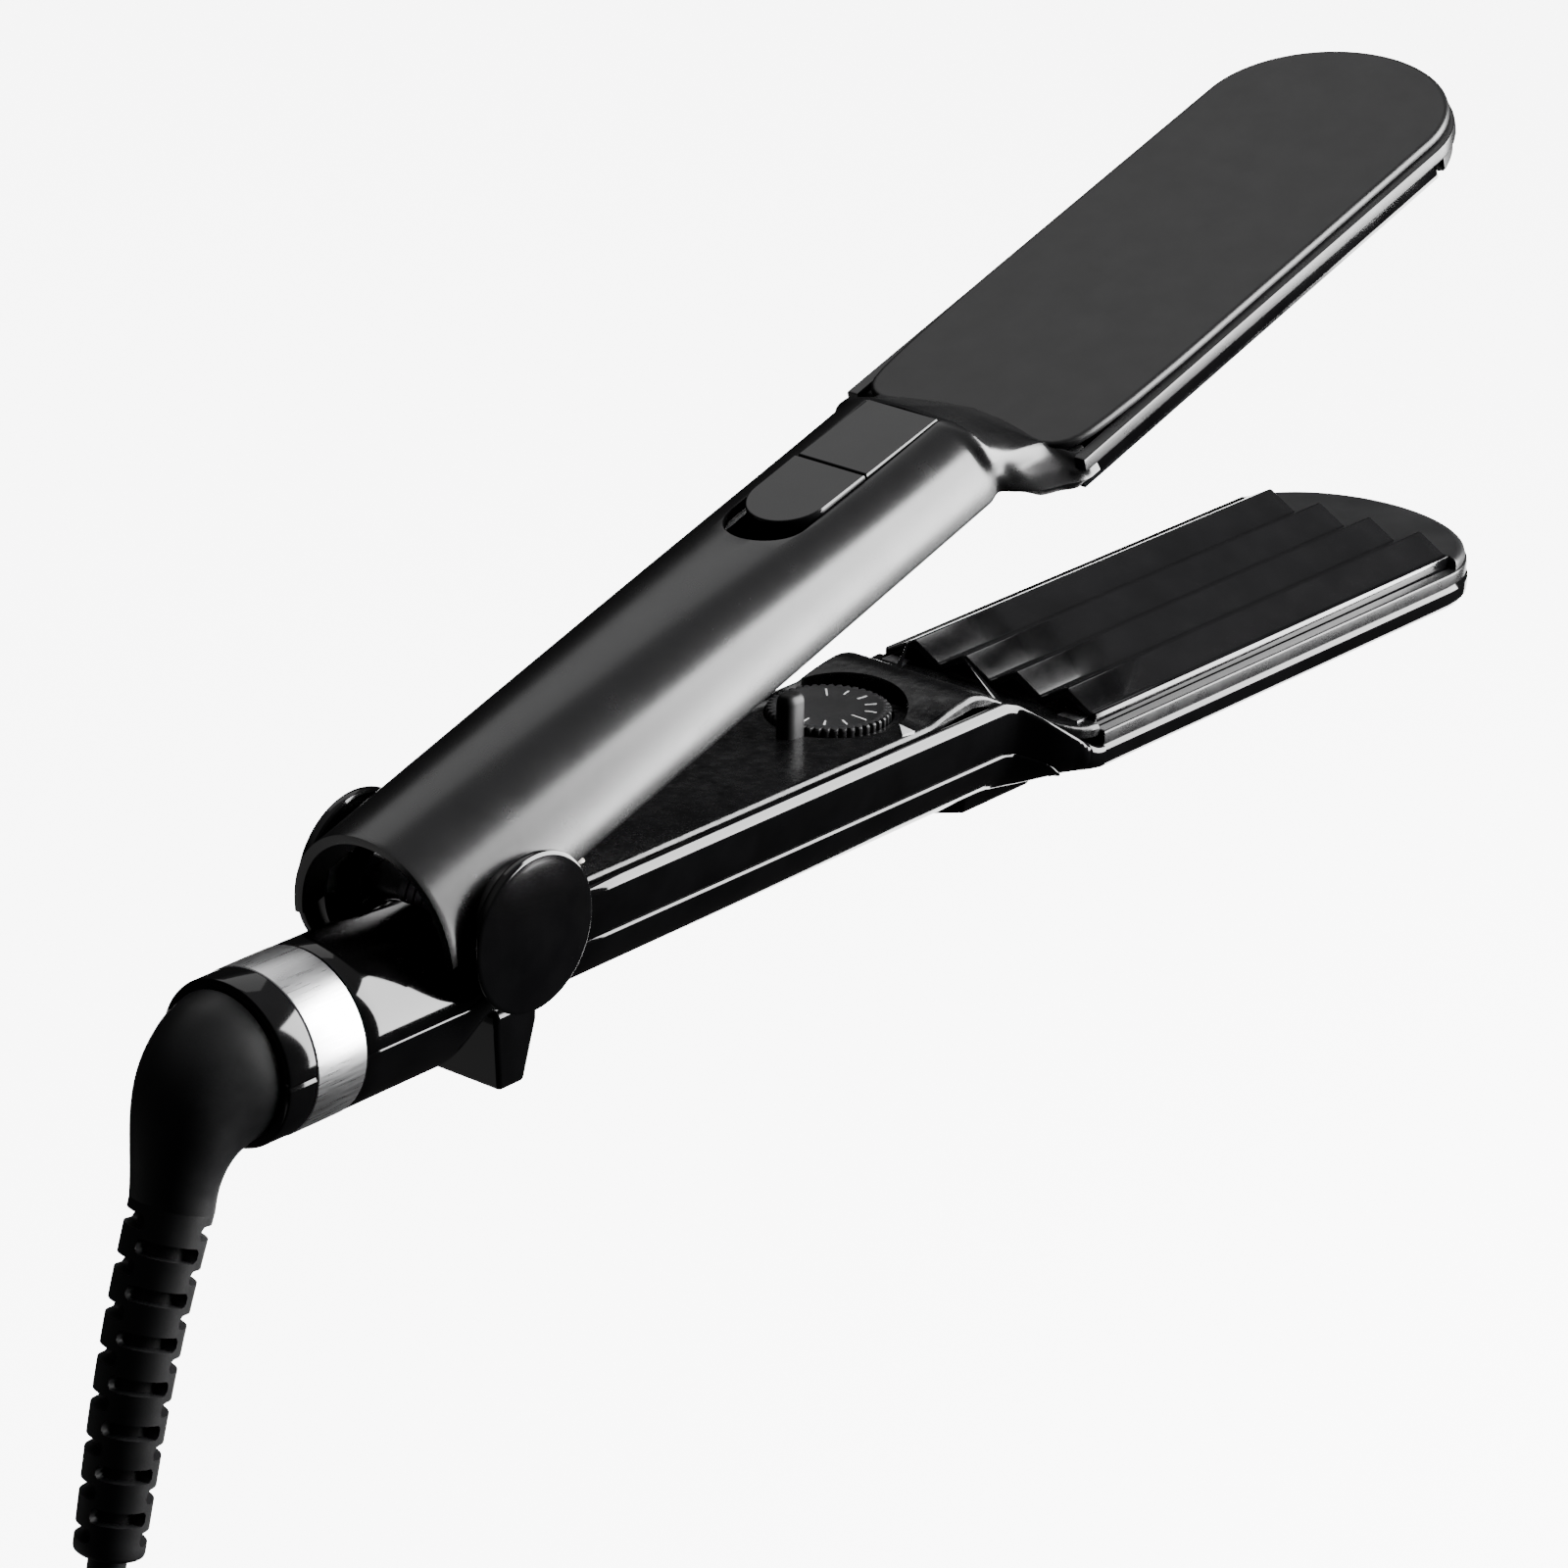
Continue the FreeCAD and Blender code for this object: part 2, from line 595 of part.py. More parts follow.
def strain_relief():
    """Eight ribs along a slightly bent core, smaller towards the tip."""
    pieces = []
    for i in range(len(RELIEF) - 1):
        (x0, z0), (x1, z1) = RELIEF[i], RELIEF[i + 1]
        pieces.append(turned_cone(5.8 - 0.1 * i, 5.7 - 0.1 * i, (x0, 0, z0), (x1, 0, z1)))
        pieces.append(Part.makeSphere(5.7 - 0.1 * i, V(x1, 0, z1)))
    pieces.pop()
    for k in range(8):
        centre, axis = relief_place(3.4 + RIB_PITCH * k)
        pieces.append(Part.makeCylinder(7.3 - 0.12 * k, 4.8, centre - axis * 2.4, axis))
    return fuse(pieces).cut(swivel_elbow())


def round_path(points):
    """Straight runs joined by tangent arcs, each as large as its two runs allow; prints the radii."""
    vs = [V(*p) for p in points]
    edges, radii = [], []
    start = vs[0]
    for i in range(1, len(vs) - 1):
        back, ahead = (vs[i - 1] - vs[i]), (vs[i + 1] - vs[i])
        reach = 0.45 * min(back.Length, ahead.Length)
        turn = math.pi - back.getAngle(ahead)
        radii.append(round(reach / math.tan(turn / 2), 1))
        back.normalize()
        ahead.normalize()
        a, b = vs[i] + back * reach, vs[i] + ahead * reach
        middle = (back + ahead)
        middle.normalize()
        radius = reach / math.tan(turn / 2)
        centre = vs[i] + middle * math.hypot(radius, reach)
        edges.append(Part.makeLine(start, a))
        edges.append(Part.Arc(a, centre - middle * radius, b).toShape())
        start = b
    edges.append(Part.makeLine(start, vs[-1]))
    print("route radii", radii)
    return Part.Wire(edges)


def cord_tube(points):
    path = round_path(points)
    direction = V(*points[1]) - V(*points[0])
    ring = Part.Wire(Part.makeCircle(CORD_D / 2, V(*points[0]), direction))
    pipe = path.makePipeShell([ring], True, False)
    print("tube volume", round(pipe.Volume), "section x length", round(math.pi * CORD_D ** 2 / 4 * path.Length))
    return pipe


def hank_outline(half_fold, half_waist, top, bottom):
    """Outline of a tied hank seen along X: round folds at both ends, pinched in the middle."""
    middle = (top + bottom) / 2
    reach = HANK_RUN / 2
    right, count = [], 8
    for i in range(count + 1):
        a = math.pi / 2 * (1 - i / count)
        right.append((half_fold * math.cos(a), middle + reach + half_fold * math.sin(a)))
    for i in range(1, 2 * count):
        s = 1 - i / count
        blend = 0.5 - 0.5 * math.cos(math.pi * abs(s))
        right.append((half_waist + (half_fold - half_waist) * blend, middle + reach * s))
    for i in range(count + 1):
        a = math.pi / 2 * i / count
        right.append((half_fold * math.cos(a), middle - reach - half_fold * math.sin(a)))
    left = [(-y, z) for y, z in reversed(right[1:-1])]
    return right + left


def cord_hank():
    """Outer shape of the wound cord, two layers of turns side by side, with an eye at each fold."""
    outer, inner = FOLD_R + 1.5 * CORD_D, FOLD_R - 0.5 * CORD_D
    bottom = HANK_TOP - HANK_RUN - 2 * outer
    thick = 4.4 * CORD_D / 2
    body = prism_x(hank_outline(outer, 17.0, HANK_TOP, bottom), HANK_X - thick, HANK_X + thick)
    eye = prism_x(hank_outline(inner, 1.6, HANK_TOP, bottom), HANK_X - thick - 1, HANK_X + thick + 1)
    return body.cut(eye)


def hank_tie():
    """Strap round the hank's waist."""
    middle = HANK_TOP - HANK_RUN / 2 - FOLD_R - 1.5 * CORD_D
    thick = 4.4 * CORD_D / 2 + 0.3
    outer = box(HANK_X - thick - 1.2, HANK_X + thick + 1.2, -19.0, 19.0, middle - 5, middle + 5)
    return outer.cut(box(HANK_X - thick, HANK_X + thick, -17.8, 17.8, middle - 6, middle + 6))


def plug_body():
    """Two-pin mains plug hanging from the cord's end, with its own ribbed neck."""
    x, y, z = TAIL_ROUTE[-1]
    neck = turned_cone(5.0, 7.0, (x, y, z), (x, y, z - 16))
    body = box(x - 9, x + 9, y - 15, y + 15, z - 48, z - 15)
    body = body.makeFillet(6.0, [e for e in body.Edges if e.BoundBox.ZLength > 30])
    body = rounded(body, 3.0, lambda p, e: abs(e.BoundBox.ZMin - (z - 15)) < 0.01 and e.BoundBox.ZLength < 0.01)
    return fuse([neck, body])


def plug_pins():
    x, y, z = TAIL_ROUTE[-1]
    return Part.makeCompound([rod(2.4, (x, y + s * 9.5, z - 48), (x, y + s * 9.5, z - 67)) for s in (-1, 1)])


def main():
    os.makedirs("parts", exist_ok=True)
    shell, cover = lower_shell_parts()
    save("lower_main_shell", shell)
    save("lower_bottom_cover", cover)
    save("lower_inner_cover", lower_deck())
    save("guide_post", guide_post())
    save("temperature_dial", temperature_dial())
    save("dial_spindle", dial_spindle())
    save("temperature_control", potentiometer())
    save("dial_pointer", dial_pointer())
    save("pilot_lamp", pilot_lamp())
    save("control_board", control_board())
    save("board_pillars", board_posts())
    save("lower_wiring", lower_wiring())
    save("lower_plate_carrier", lower_carrier())
    save("lower_crimp_plate", lower_plate())
    save("lower_heater", heater(-10.2, -7.6))
    save("lower_insulator", box(170, 266, -23, 23, -11.6, -10.4))
    save("lower_thermal_fuse", thermal_fuse(-9.0))
    save("lower_plate_clips", plate_clips(-6.3, -4.6))
    save("front_rest_foot", front_foot())
    save("rear_stand_foot", rear_foot())
    save("cover_screws", Part.makeCompound([screw(x, 0, z, 6, 1) for x, z in SCREW_POINTS]))
    save("chrome_band", chrome_band())
    save("end_collar", end_collar())
    save("swivel_socket", swivel_socket())
    save("hinge_pin", hinge_pin())
    save("hinge_cap_right", hinge_cap(-1))
    save("hinge_cap_left", hinge_cap(1))
    save("hinge_spring", hinge_spring())

    save("upper_shell", upper_shell(), True)
    save("upper_inner_cover", upper_cover(), True)
    save("upper_screw_bosses", upper_bosses(), True)
    save("upper_screws", upper_screws(), True)
    save("upper_plate_carrier", upper_carrier(), True)
    save("upper_crimp_plate", upper_plate(), True)
    save("upper_heater", heater(2.8, 4.3), True)
    save("upper_insulator", box(170, 266, -23, 23, 4.4, 5.2), True)
    save("upper_thermal_fuse", thermal_fuse(3.4), True)
    save("upper_wiring", upper_wiring(), True)
    save("switch_window", switch_window(), True)
    save("switch_body", switch_body(), True)
    save("power_slider", power_slider(), True)
    save("hinge_bushes", hinge_bushes(), True)

    save("swivel_hub", swivel_hub())
    save("swivel_elbow", swivel_elbow())
    save("strain_relief", strain_relief())
    save("cord_lead", cord_tube(CORD_ROUTE).cut(cord_hank()))
    save("cord_hank", cord_hank())
    save("cord_tail", cord_tube(TAIL_ROUTE).cut(cord_hank()))
    save("hank_tie", hank_tie())
    save("plug_body", plug_body())
    save("plug_pins", plug_pins())


main()
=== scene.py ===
import math

import bmesh
import bpy
from mathutils import Matrix, Vector

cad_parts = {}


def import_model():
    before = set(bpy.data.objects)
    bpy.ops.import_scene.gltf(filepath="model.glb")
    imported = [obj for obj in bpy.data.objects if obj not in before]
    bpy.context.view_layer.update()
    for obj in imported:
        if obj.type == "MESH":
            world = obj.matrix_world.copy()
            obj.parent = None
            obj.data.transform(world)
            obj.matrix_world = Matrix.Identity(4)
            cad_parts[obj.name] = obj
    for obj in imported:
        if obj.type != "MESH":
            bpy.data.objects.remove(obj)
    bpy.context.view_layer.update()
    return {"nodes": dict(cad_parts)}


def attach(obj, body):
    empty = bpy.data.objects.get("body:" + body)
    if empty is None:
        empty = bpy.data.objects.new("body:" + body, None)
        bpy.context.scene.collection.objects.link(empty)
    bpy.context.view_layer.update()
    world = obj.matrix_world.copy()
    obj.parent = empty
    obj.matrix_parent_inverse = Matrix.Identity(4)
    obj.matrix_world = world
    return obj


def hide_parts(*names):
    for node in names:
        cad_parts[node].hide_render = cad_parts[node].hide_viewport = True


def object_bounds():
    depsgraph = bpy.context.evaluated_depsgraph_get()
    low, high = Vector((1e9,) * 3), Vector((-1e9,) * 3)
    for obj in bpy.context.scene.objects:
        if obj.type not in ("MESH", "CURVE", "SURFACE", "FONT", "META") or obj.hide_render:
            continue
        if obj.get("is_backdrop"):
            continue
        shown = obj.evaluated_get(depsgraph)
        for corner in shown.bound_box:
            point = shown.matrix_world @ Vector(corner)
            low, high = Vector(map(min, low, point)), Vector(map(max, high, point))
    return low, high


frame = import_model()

# All pieces are drawn in millimetres about the hinge axis, as the CAD is: +X to the tip, +Y left, +Z up.
# The upper arm's pieces are drawn closed: closed() places a point of the lower arm in the frame, and
# opened() one of the upper arm, swung open.
MM = 0.001
GRIP_X = 70.0
OPEN = math.radians(17.5)
BARREL_Z = -13.4
AXIS = (0, 0, BARREL_Z)
ROUND_X, TIP_X = 275.5, 299.0
PITCH, RIDGE = 12.73, 3.6
PLATE_X = (158.0, 278.0)
PLATE_HALF = 26.3
DIAL = (112.0, 3.1)
RECESS_R, DIAL_HOLE_R = 15.2, 12.6
SWITCH_END_R = 8.8
SIDES = ((-1, "right"), (1, "left"))
VIEW_SIDE = math.atan2(-0.62, -0.79)


def closed(p):
    return Vector(((p[0] - GRIP_X) * MM, p[1] * MM, p[2] * MM))


def opened(p):
    """Place of a point of the upper arm, which is drawn closed."""
    x, y, z = p
    return closed((x * math.cos(OPEN) - z * math.sin(OPEN), y, x * math.sin(OPEN) + z * math.cos(OPEN)))


def lerp(a, b, t):
    return a + (b - a) * t


def smooth(t):
    t = min(1.0, max(0.0, t))
    return t * t * (3 - 2 * t)


# ---------------------------------------------------------------- materials
def nodes_of(name):
    mat = bpy.data.materials.new(name)
    mat.use_nodes = True
    tree = mat.node_tree
    return mat, tree, tree.nodes["Principled BSDF"]


def noise(tree, scale, detail=2.0, rough=0.5, stretch=(1, 1, 1)):
    """Noise in object space, in cells per metre, stretched along the axes."""
    coord = tree.nodes.new("ShaderNodeTexCoord")
    mapping = tree.nodes.new("ShaderNodeMapping")
    mapping.inputs["Scale"].default_value = stretch
    tex = tree.nodes.new("ShaderNodeTexNoise")
    tex.inputs["Scale"].default_value = scale
    tex.inputs["Detail"].default_value = detail
    tex.inputs["Roughness"].default_value = rough
    tree.links.new(coord.outputs["Object"], mapping.inputs["Vector"])
    tree.links.new(mapping.outputs["Vector"], tex.inputs["Vector"])
    return tex.outputs["Fac"]


def ramp(tree, value, low, high, start=0.3, end=0.7):
    """Maps a 0 to 1 value to a range of greys or to two colours."""
    node = tree.nodes.new("ShaderNodeMapRange")
    node.inputs["From Min"].default_value = start
    node.inputs["From Max"].default_value = end
    node.inputs["To Min"].default_value = low
    node.inputs["To Max"].default_value = high
    tree.links.new(value, node.inputs["Value"])
    return node.outputs["Result"]


def tint(tree, value, first, second, start=0.35, end=0.65):
    node = tree.nodes.new("ShaderNodeValToRGB")
    node.color_ramp.elements[0].position = start
    node.color_ramp.elements[0].color = (*first, 1)
    node.color_ramp.elements[1].position = end
    node.color_ramp.elements[1].color = (*second, 1)
    tree.links.new(value, node.inputs["Fac"])
    return node.outputs["Color"]


def bump(tree, shader, height, distance, strength):
    node = tree.nodes.new("ShaderNodeBump")
    node.inputs["Distance"].default_value = distance
    node.inputs["Strength"].default_value = strength
    tree.links.new(height, node.inputs["Height"])
    tree.links.new(node.outputs["Normal"], shader.inputs["Normal"])


def plastic(name, dark, light, rough, grain, grain_depth, level=0.5, coat=0.0, spread=0.04, strength=0.3):
    """Moulded plastic: two close colours, uneven roughness and a fine moulded grain."""
    mat, tree, shader = nodes_of(name)
    shader.inputs["Specular IOR Level"].default_value = level
    shader.inputs["Coat Weight"].default_value = coat
    shader.inputs["Coat Roughness"].default_value = 0.04
    tree.links.new(tint(tree, noise(tree, 90, 3), dark, light), shader.inputs["Base Color"])
    tree.links.new(ramp(tree, noise(tree, 140, 4, 0.6), rough - spread, rough + spread),
                   shader.inputs["Roughness"])
    bump(tree, shader, noise(tree, grain, 2, 0.6), grain_depth, strength)
    return mat


def metal(name, colour, rough, stretch, scale=1500.0, depth=0.00002):
    mat, tree, shader = nodes_of(name)
    shader.inputs["Metallic"].default_value = 1.0
    second = tuple(c * 0.86 for c in colour)
    tree.links.new(tint(tree, noise(tree, 60, 3), second, colour), shader.inputs["Base Color"])
    lines = noise(tree, scale, 3, 0.6, stretch)
    tree.links.new(ramp(tree, lines, rough - 0.05, rough + 0.07), shader.inputs["Roughness"])
    bump(tree, shader, lines, depth, 0.35)
    return mat


def grained(name, dark, light, rough, cell, depth, level=0.4):
    """Plastic with a spark-eroded grain of small flat pits."""
    mat, tree, shader = nodes_of(name)
    shader.inputs["Specular IOR Level"].default_value = level
    coord = tree.nodes.new("ShaderNodeTexCoord")
    pits = tree.nodes.new("ShaderNodeTexVoronoi")
    pits.inputs["Scale"].default_value = 1 / cell
    tree.links.new(coord.outputs["Object"], pits.inputs["Vector"])
    tree.links.new(tint(tree, noise(tree, 200, 4), dark, light), shader.inputs["Base Color"])
    tree.links.new(ramp(tree, noise(tree, 350, 4, 0.6), rough - 0.08, rough + 0.1),
                   shader.inputs["Roughness"])
    bump(tree, shader, pits.outputs["Distance"], depth, 0.6)
    return mat


def woven(name, dark, light, cell):
    """Webbing: two crossing waves make the weave."""
    mat, tree, shader = nodes_of(name)
    shader.inputs["Sheen Weight"].default_value = 0.25
    coord = tree.nodes.new("ShaderNodeTexCoord")
    waves = []
    for axis in ("X", "Z"):
        wave = tree.nodes.new("ShaderNodeTexWave")
        wave.bands_direction = axis
        wave.inputs["Scale"].default_value = 0.5 / cell
        wave.inputs["Distortion"].default_value = 0.6
        tree.links.new(coord.outputs["Object"], wave.inputs["Vector"])
        waves.append(wave.outputs["Fac"])
    both = tree.nodes.new("ShaderNodeMath")
    both.operation = "MULTIPLY"
    tree.links.new(waves[0], both.inputs[0])
    tree.links.new(waves[1], both.inputs[1])
    tree.links.new(tint(tree, both.outputs[0], dark, light, 0.1, 0.9), shader.inputs["Base Color"])
    shader.inputs["Roughness"].default_value = 0.85
    bump(tree, shader, both.outputs[0], 0.0003, 0.8)
    return mat


GLOSS = plastic("gloss_black", (0.0016, 0.0016, 0.0017), (0.0026, 0.0026, 0.0028), 0.07, 25, 0.000006, 0.5,
                0.0, 0.015, 0.03)
SATIN = plastic("satin_casing", (0.0028, 0.0028, 0.003), (0.0042, 0.0042, 0.0045), 0.26, 5200, 0.00001,
                0.8, 0.0, 0.02, 0.15)
PANEL = plastic("satin_panel", (0.0022, 0.0022, 0.0024), (0.0034, 0.0034, 0.0036), 0.36, 5200, 0.00001,
                0.5, 0.0, 0.02, 0.15)
TRIM = plastic("matte_trim", (0.004, 0.004, 0.0043), (0.007, 0.007, 0.0075), 0.5, 4200, 0.00002, 0.4)
DECK = grained("grained_deck", (0.0018, 0.0018, 0.002), (0.004, 0.004, 0.0043), 0.24, 0.0016, 0.00006)
NOSE = plastic("satin_nose", (0.006, 0.006, 0.0065), (0.009, 0.009, 0.0095), 0.42, 3800, 0.00002, 0.5)
CERAMIC = plastic("plate_coating", (0.0015, 0.0015, 0.0017), (0.003, 0.003, 0.0033), 0.10, 2600, 0.00001,
                  0.6, 0.3, 0.03, 0.12)
RUBBER = plastic("soft_rubber", (0.004, 0.004, 0.0044), (0.007, 0.007, 0.0076), 0.46, 3200, 0.00003, 0.4,
                 0.0, 0.05, 0.3)
SHEATH = plastic("cord_sheath", (0.004, 0.004, 0.0044), (0.007, 0.007, 0.0076), 0.42, 2400, 0.00003, 0.4,
                 0.0, 0.05, 0.3)
WHITE = plastic("white_print", (0.62, 0.62, 0.62), (0.74, 0.74, 0.74), 0.5, 5000, 0.00001, 0.4)
LENS = plastic("lamp_lens", (0.55, 0.5, 0.45), (0.75, 0.7, 0.65), 0.12, 2000, 0.00002, 0.6)
CAP = plastic("gloss_cap", (0.0018, 0.0018, 0.002), (0.003, 0.003, 0.0032), 0.08, 40, 0.00003, 0.5, 0.0,
              0.015, 0.08)
KEY = plastic("gloss_key", (0.003, 0.003, 0.0032), (0.0045, 0.0045, 0.0048), 0.16, 2400, 0.00001, 0.5, 0.0,
              0.03, 0.12)
RIM = plastic("satin_rim", (0.005, 0.005, 0.0054), (0.008, 0.008, 0.0085), 0.28, 2600, 0.00001, 0.5, 0.0,
              0.04, 0.15)
DIAL_FACE = plastic("dial_face", (0.01, 0.01, 0.0105), (0.016, 0.016, 0.017), 0.5, 3600, 0.00003, 0.45,
                    0.0, 0.05, 0.3)
CHROME = metal("band_chrome", (0.92, 0.92, 0.93), 0.3, (0.05, 1, 1), 2600, 0.000005)
STEEL = metal("zinc_steel", (0.48, 0.48, 0.49), 0.32, (1, 1, 1), 900)
NICKEL = metal("nickel_pins", (0.72, 0.70, 0.64), 0.2, (1, 1, 0.1))
BOARD = grained("circuit_board", (0.02, 0.10, 0.04), (0.03, 0.14, 0.06), 0.45, 0.002, 0.0001)
OFFWHITE = plastic("ceramic_heater", (0.45, 0.43, 0.39), (0.55, 0.53, 0.49), 0.6, 1500, 0.00005)
STRAP = woven("strap_webbing", (0.003, 0.003, 0.003), (0.015, 0.015, 0.016), 0.0012)

CARRIED = {
    "lower_heater": OFFWHITE, "upper_heater": OFFWHITE, "lower_insulator": OFFWHITE,
    "upper_insulator": OFFWHITE,
    "lower_thermal_fuse": STEEL, "upper_thermal_fuse": STEEL, "control_board": BOARD, "board_pillars": TRIM,
    "lower_wiring": SHEATH, "upper_wiring": SHEATH, "lower_plate_clips": STEEL, "cover_screws": STEEL,
    "upper_screws": STEEL, "upper_screw_bosses": SATIN, "switch_body": TRIM, "temperature_control": STEEL,
    "swivel_socket": TRIM, "swivel_hub": TRIM, "hinge_pin": STEEL, "hinge_spring": STEEL,
    "hinge_bushes": TRIM,
    "dial_spindle": TRIM, "upper_inner_cover": TRIM,
}
for node_name, material in CARRIED.items():
    node = frame["nodes"][node_name]
    node.data.materials.clear()
    node.data.materials.append(material)


# ---------------------------------------------------------------- mesh helpers
def finish_mesh(name, shape, where, material, body, replaced=(), angle=35.0, weld=True):
    """Makes one piece from millimetre points, shades it and ties it to its body."""
    mesh = bpy.data.meshes.new(name)
    verts, faces = shape
    mesh.from_pydata([where(v) for v in verts], [], faces)
    work = bmesh.new()
    work.from_mesh(mesh)
    if weld:
        bmesh.ops.remove_doubles(work, verts=work.verts, dist=2e-6)
    bmesh.ops.dissolve_degenerate(work, edges=work.edges, dist=1e-6)
    bmesh.ops.recalc_face_normals(work, faces=work.faces)
    work.to_mesh(mesh)
    work.free()
    piece = bpy.data.objects.new(name, mesh)
    bpy.context.scene.collection.objects.link(piece)
    mesh.materials.append(material)
    shade(piece, angle)
    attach(piece, body)
    if replaced:
        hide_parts(*replaced)
    return piece


def shade(piece, angle):
    for face in piece.data.polygons:
        face.use_smooth = True
    piece.data.set_sharp_from_angle(angle=math.radians(angle))


def apply_modifiers(piece, angle=None):
    """Applies what has been added, so that the piece is plain mesh."""
    graph = bpy.context.evaluated_depsgraph_get()
    made = bpy.data.meshes.new_from_object(piece.evaluated_get(graph))
    piece.modifiers.clear()
    piece.data = made
    if angle is not None:
        shade(piece, angle)


def bevel(piece, width, segments=2, angle=40.0, shade_angle=35.0):
    mod = piece.modifiers.new("bevel", "BEVEL")
    mod.width = width * MM
    mod.segments = segments
    mod.limit_method = "ANGLE"
    mod.angle_limit = math.radians(angle)
    mod.harden_normals = False
    apply_modifiers(piece, shade_angle)


def weigh(piece):
    """Keeps flat faces flat in the shading beside small rounded edges."""
    mod = piece.modifiers.new("weights", "WEIGHTED_NORMAL")
    mod.keep_sharp = True
    mod.weight = 90
    apply_modifiers(piece)


def cut(piece, cutter, angle=35.0):
    """Takes the cutter's volume out of the piece."""
    mod = piece.modifiers.new("cut", "BOOLEAN")
    mod.operation = "DIFFERENCE"
    mod.solver = "EXACT"
    mod.object = cutter
    apply_modifiers(piece, angle)
    bpy.data.objects.remove(cutter, do_unlink=True)


def plain(name, verts, faces, where):
    """A helper mesh for cutting, which never stays in the scene."""
    mesh = bpy.data.meshes.new(name)
    mesh.from_pydata([where(v) for v in verts], [], faces)
    work = bmesh.new()
    work.from_mesh(mesh)
    bmesh.ops.recalc_face_normals(work, faces=work.faces)
    work.to_mesh(mesh)
    work.free()
    made = bpy.data.objects.new(name, mesh)
    bpy.context.scene.collection.objects.link(made)
    return made


def rings(loops, closed_loop=True, cap=True):
    """Quads between loops of the same length, and flat ends."""
    verts, faces, n = [], [], len(loops[0])
    for loop in loops:
        verts += loop
    turns = n if closed_loop else n - 1
    for i in range(len(loops) - 1):
        for j in range(turns):
            a, b = i * n + j, i * n + (j + 1) % n
            faces.append((a, b, b + n, a + n))
    if cap:
        faces.append(tuple(reversed(range(n))))
        faces.append(tuple(range((len(loops) - 1) * n, len(loops) * n)))
    return verts, faces


def circle(centre, radius, count):
    """Points round a centre."""
    turns = [2 * math.pi * i / count for i in range(count)]
    return [(centre[0] + radius * math.cos(a), centre[1] + radius * math.sin(a)) for a in turns]


def round_end(x, radius):
    """Half circle about (x, 0) that bulges to the rear."""
    turns = [math.radians(a) for a in range(90, 271, 6)]
    return [(x + radius * math.cos(a), radius * math.sin(a)) for a in turns]


def prism(points, z0, z1):
    """An upright prism over a closed outline of (x, y) points."""
    return rings([[(x, y, z) for x, y in points] for z in (z0, z1)])


def turned(profile, centre, axis, count=96, start=0.0, cap=True):
    """A solid of revolution from (along, radius) points about an axis through centre."""
    axis = Vector(axis).normalized()
    side = axis.orthogonal().normalized()
    other = axis.cross(side)
    loops = []
    for along, radius in profile:
        loop = []
        for k in range(count):
            a = start + 2 * math.pi * k / count
            p = Vector(centre) + axis * along + (side * math.cos(a) + other * math.sin(a)) * radius
            loop.append(tuple(p))
        loops.append(loop)
    return rings(loops, True, cap)


def table(rows, x):
    """Smooth values between the rows of a table sorted by its first column."""
    if x <= rows[0][0]:
        return rows[0][1:]
    if x >= rows[-1][0]:
        return rows[-1][1:]
    i = max(k for k in range(len(rows) - 1) if rows[k][0] <= x)
    t = (x - rows[i][0]) / (rows[i + 1][0] - rows[i][0])
    out = []
    for c in range(1, len(rows[0])):
        p1, p2 = rows[i][c], rows[i + 1][c]
        step = rows[i + 1][0] - rows[i][0]
        m1 = slope(rows, i, c) * step
        m2 = slope(rows, i + 1, c) * step
        out.append((2 * t**3 - 3 * t**2 + 1) * p1 + (t**3 - 2 * t**2 + t) * m1
                   + (-2 * t**3 + 3 * t**2) * p2 + (t**3 - t**2) * m2)
    return tuple(out)


def slope(rows, i, c):
    """Tangent at a row: flat at a turning point, and no steeper than its neighbours allow."""
    if i == 0 or i == len(rows) - 1:
        return 0.0
    a = (rows[i][c] - rows[i - 1][c]) / (rows[i][0] - rows[i - 1][0])
    b = (rows[i + 1][c] - rows[i][c]) / (rows[i + 1][0] - rows[i][0])
    return 0.0 if a * b <= 0 else 2 * a * b / (a + b)


def head_outline(half, tip, x0, step=14):
    """Half of the head's plan from the rear left corner to the tip, as (x, y), y >= 0."""
    points = [(lerp(x0, ROUND_X, i / 12), half) for i in range(12)]
    for i in range(step + 1):
        a = math.pi / 2 * i / step
        points.append((ROUND_X + (tip - ROUND_X) * math.sin(a), half * math.cos(a)))
    return points


def whole_outline(half, tip, x0, step=14):
    left = head_outline(half, tip, x0, step)
    return left + [(x, -y) for x, y in reversed(left[:-1])]


def slab(levels, x0, tip=TIP_X, base=29.3):
    """A head-shaped solid: levels are (inset from the outline, z), from one face to the other."""
    loops = []
    for inset, z in levels:
        loops.append([(x, y, z) for x, y in whole_outline(base - inset, tip - inset, x0 + inset * 0.0)])
    return rings(loops)


# ---------------------------------------------------------------- lower casing
# x, half width, rim height, floor height, fullness of the underside, radius of the shoulder
LOW_ROWS = [
    (16.8, 19.4, 2.1, -23.0, 2.1, 2.3),
    (80.0, 19.4, 2.1, -22.8, 2.15, 2.3),
    (139.0, 19.4, 2.0, -22.4, 2.2, 2.3),
    (142.0, 19.7, 1.2, -22.0, 2.25, 2.3),
    (144.5, 21.8, -0.6, -21.1, 2.35, 2.2),
    (147.0, 24.8, -2.8, -19.6, 2.6, 2.0),
    (150.0, 27.2, -5.3, -17.6, 3.0, 1.8),
    (153.0, 28.7, -7.6, -16.1, 3.6, 1.5),
    (156.0, 29.25, -9.1, -15.6, 4.6, 1.2),
    (158.0, 29.3, -9.4, -15.5, 5.4, 1.1),
]
SEAM_ROWS = [(0.0, -8.7), (139.0, -8.7), (143.0, -9.5), (147.0, -11.6), (151.0, -15.0), (155.0, -19.6)]
SHOULDER = math.radians(60)


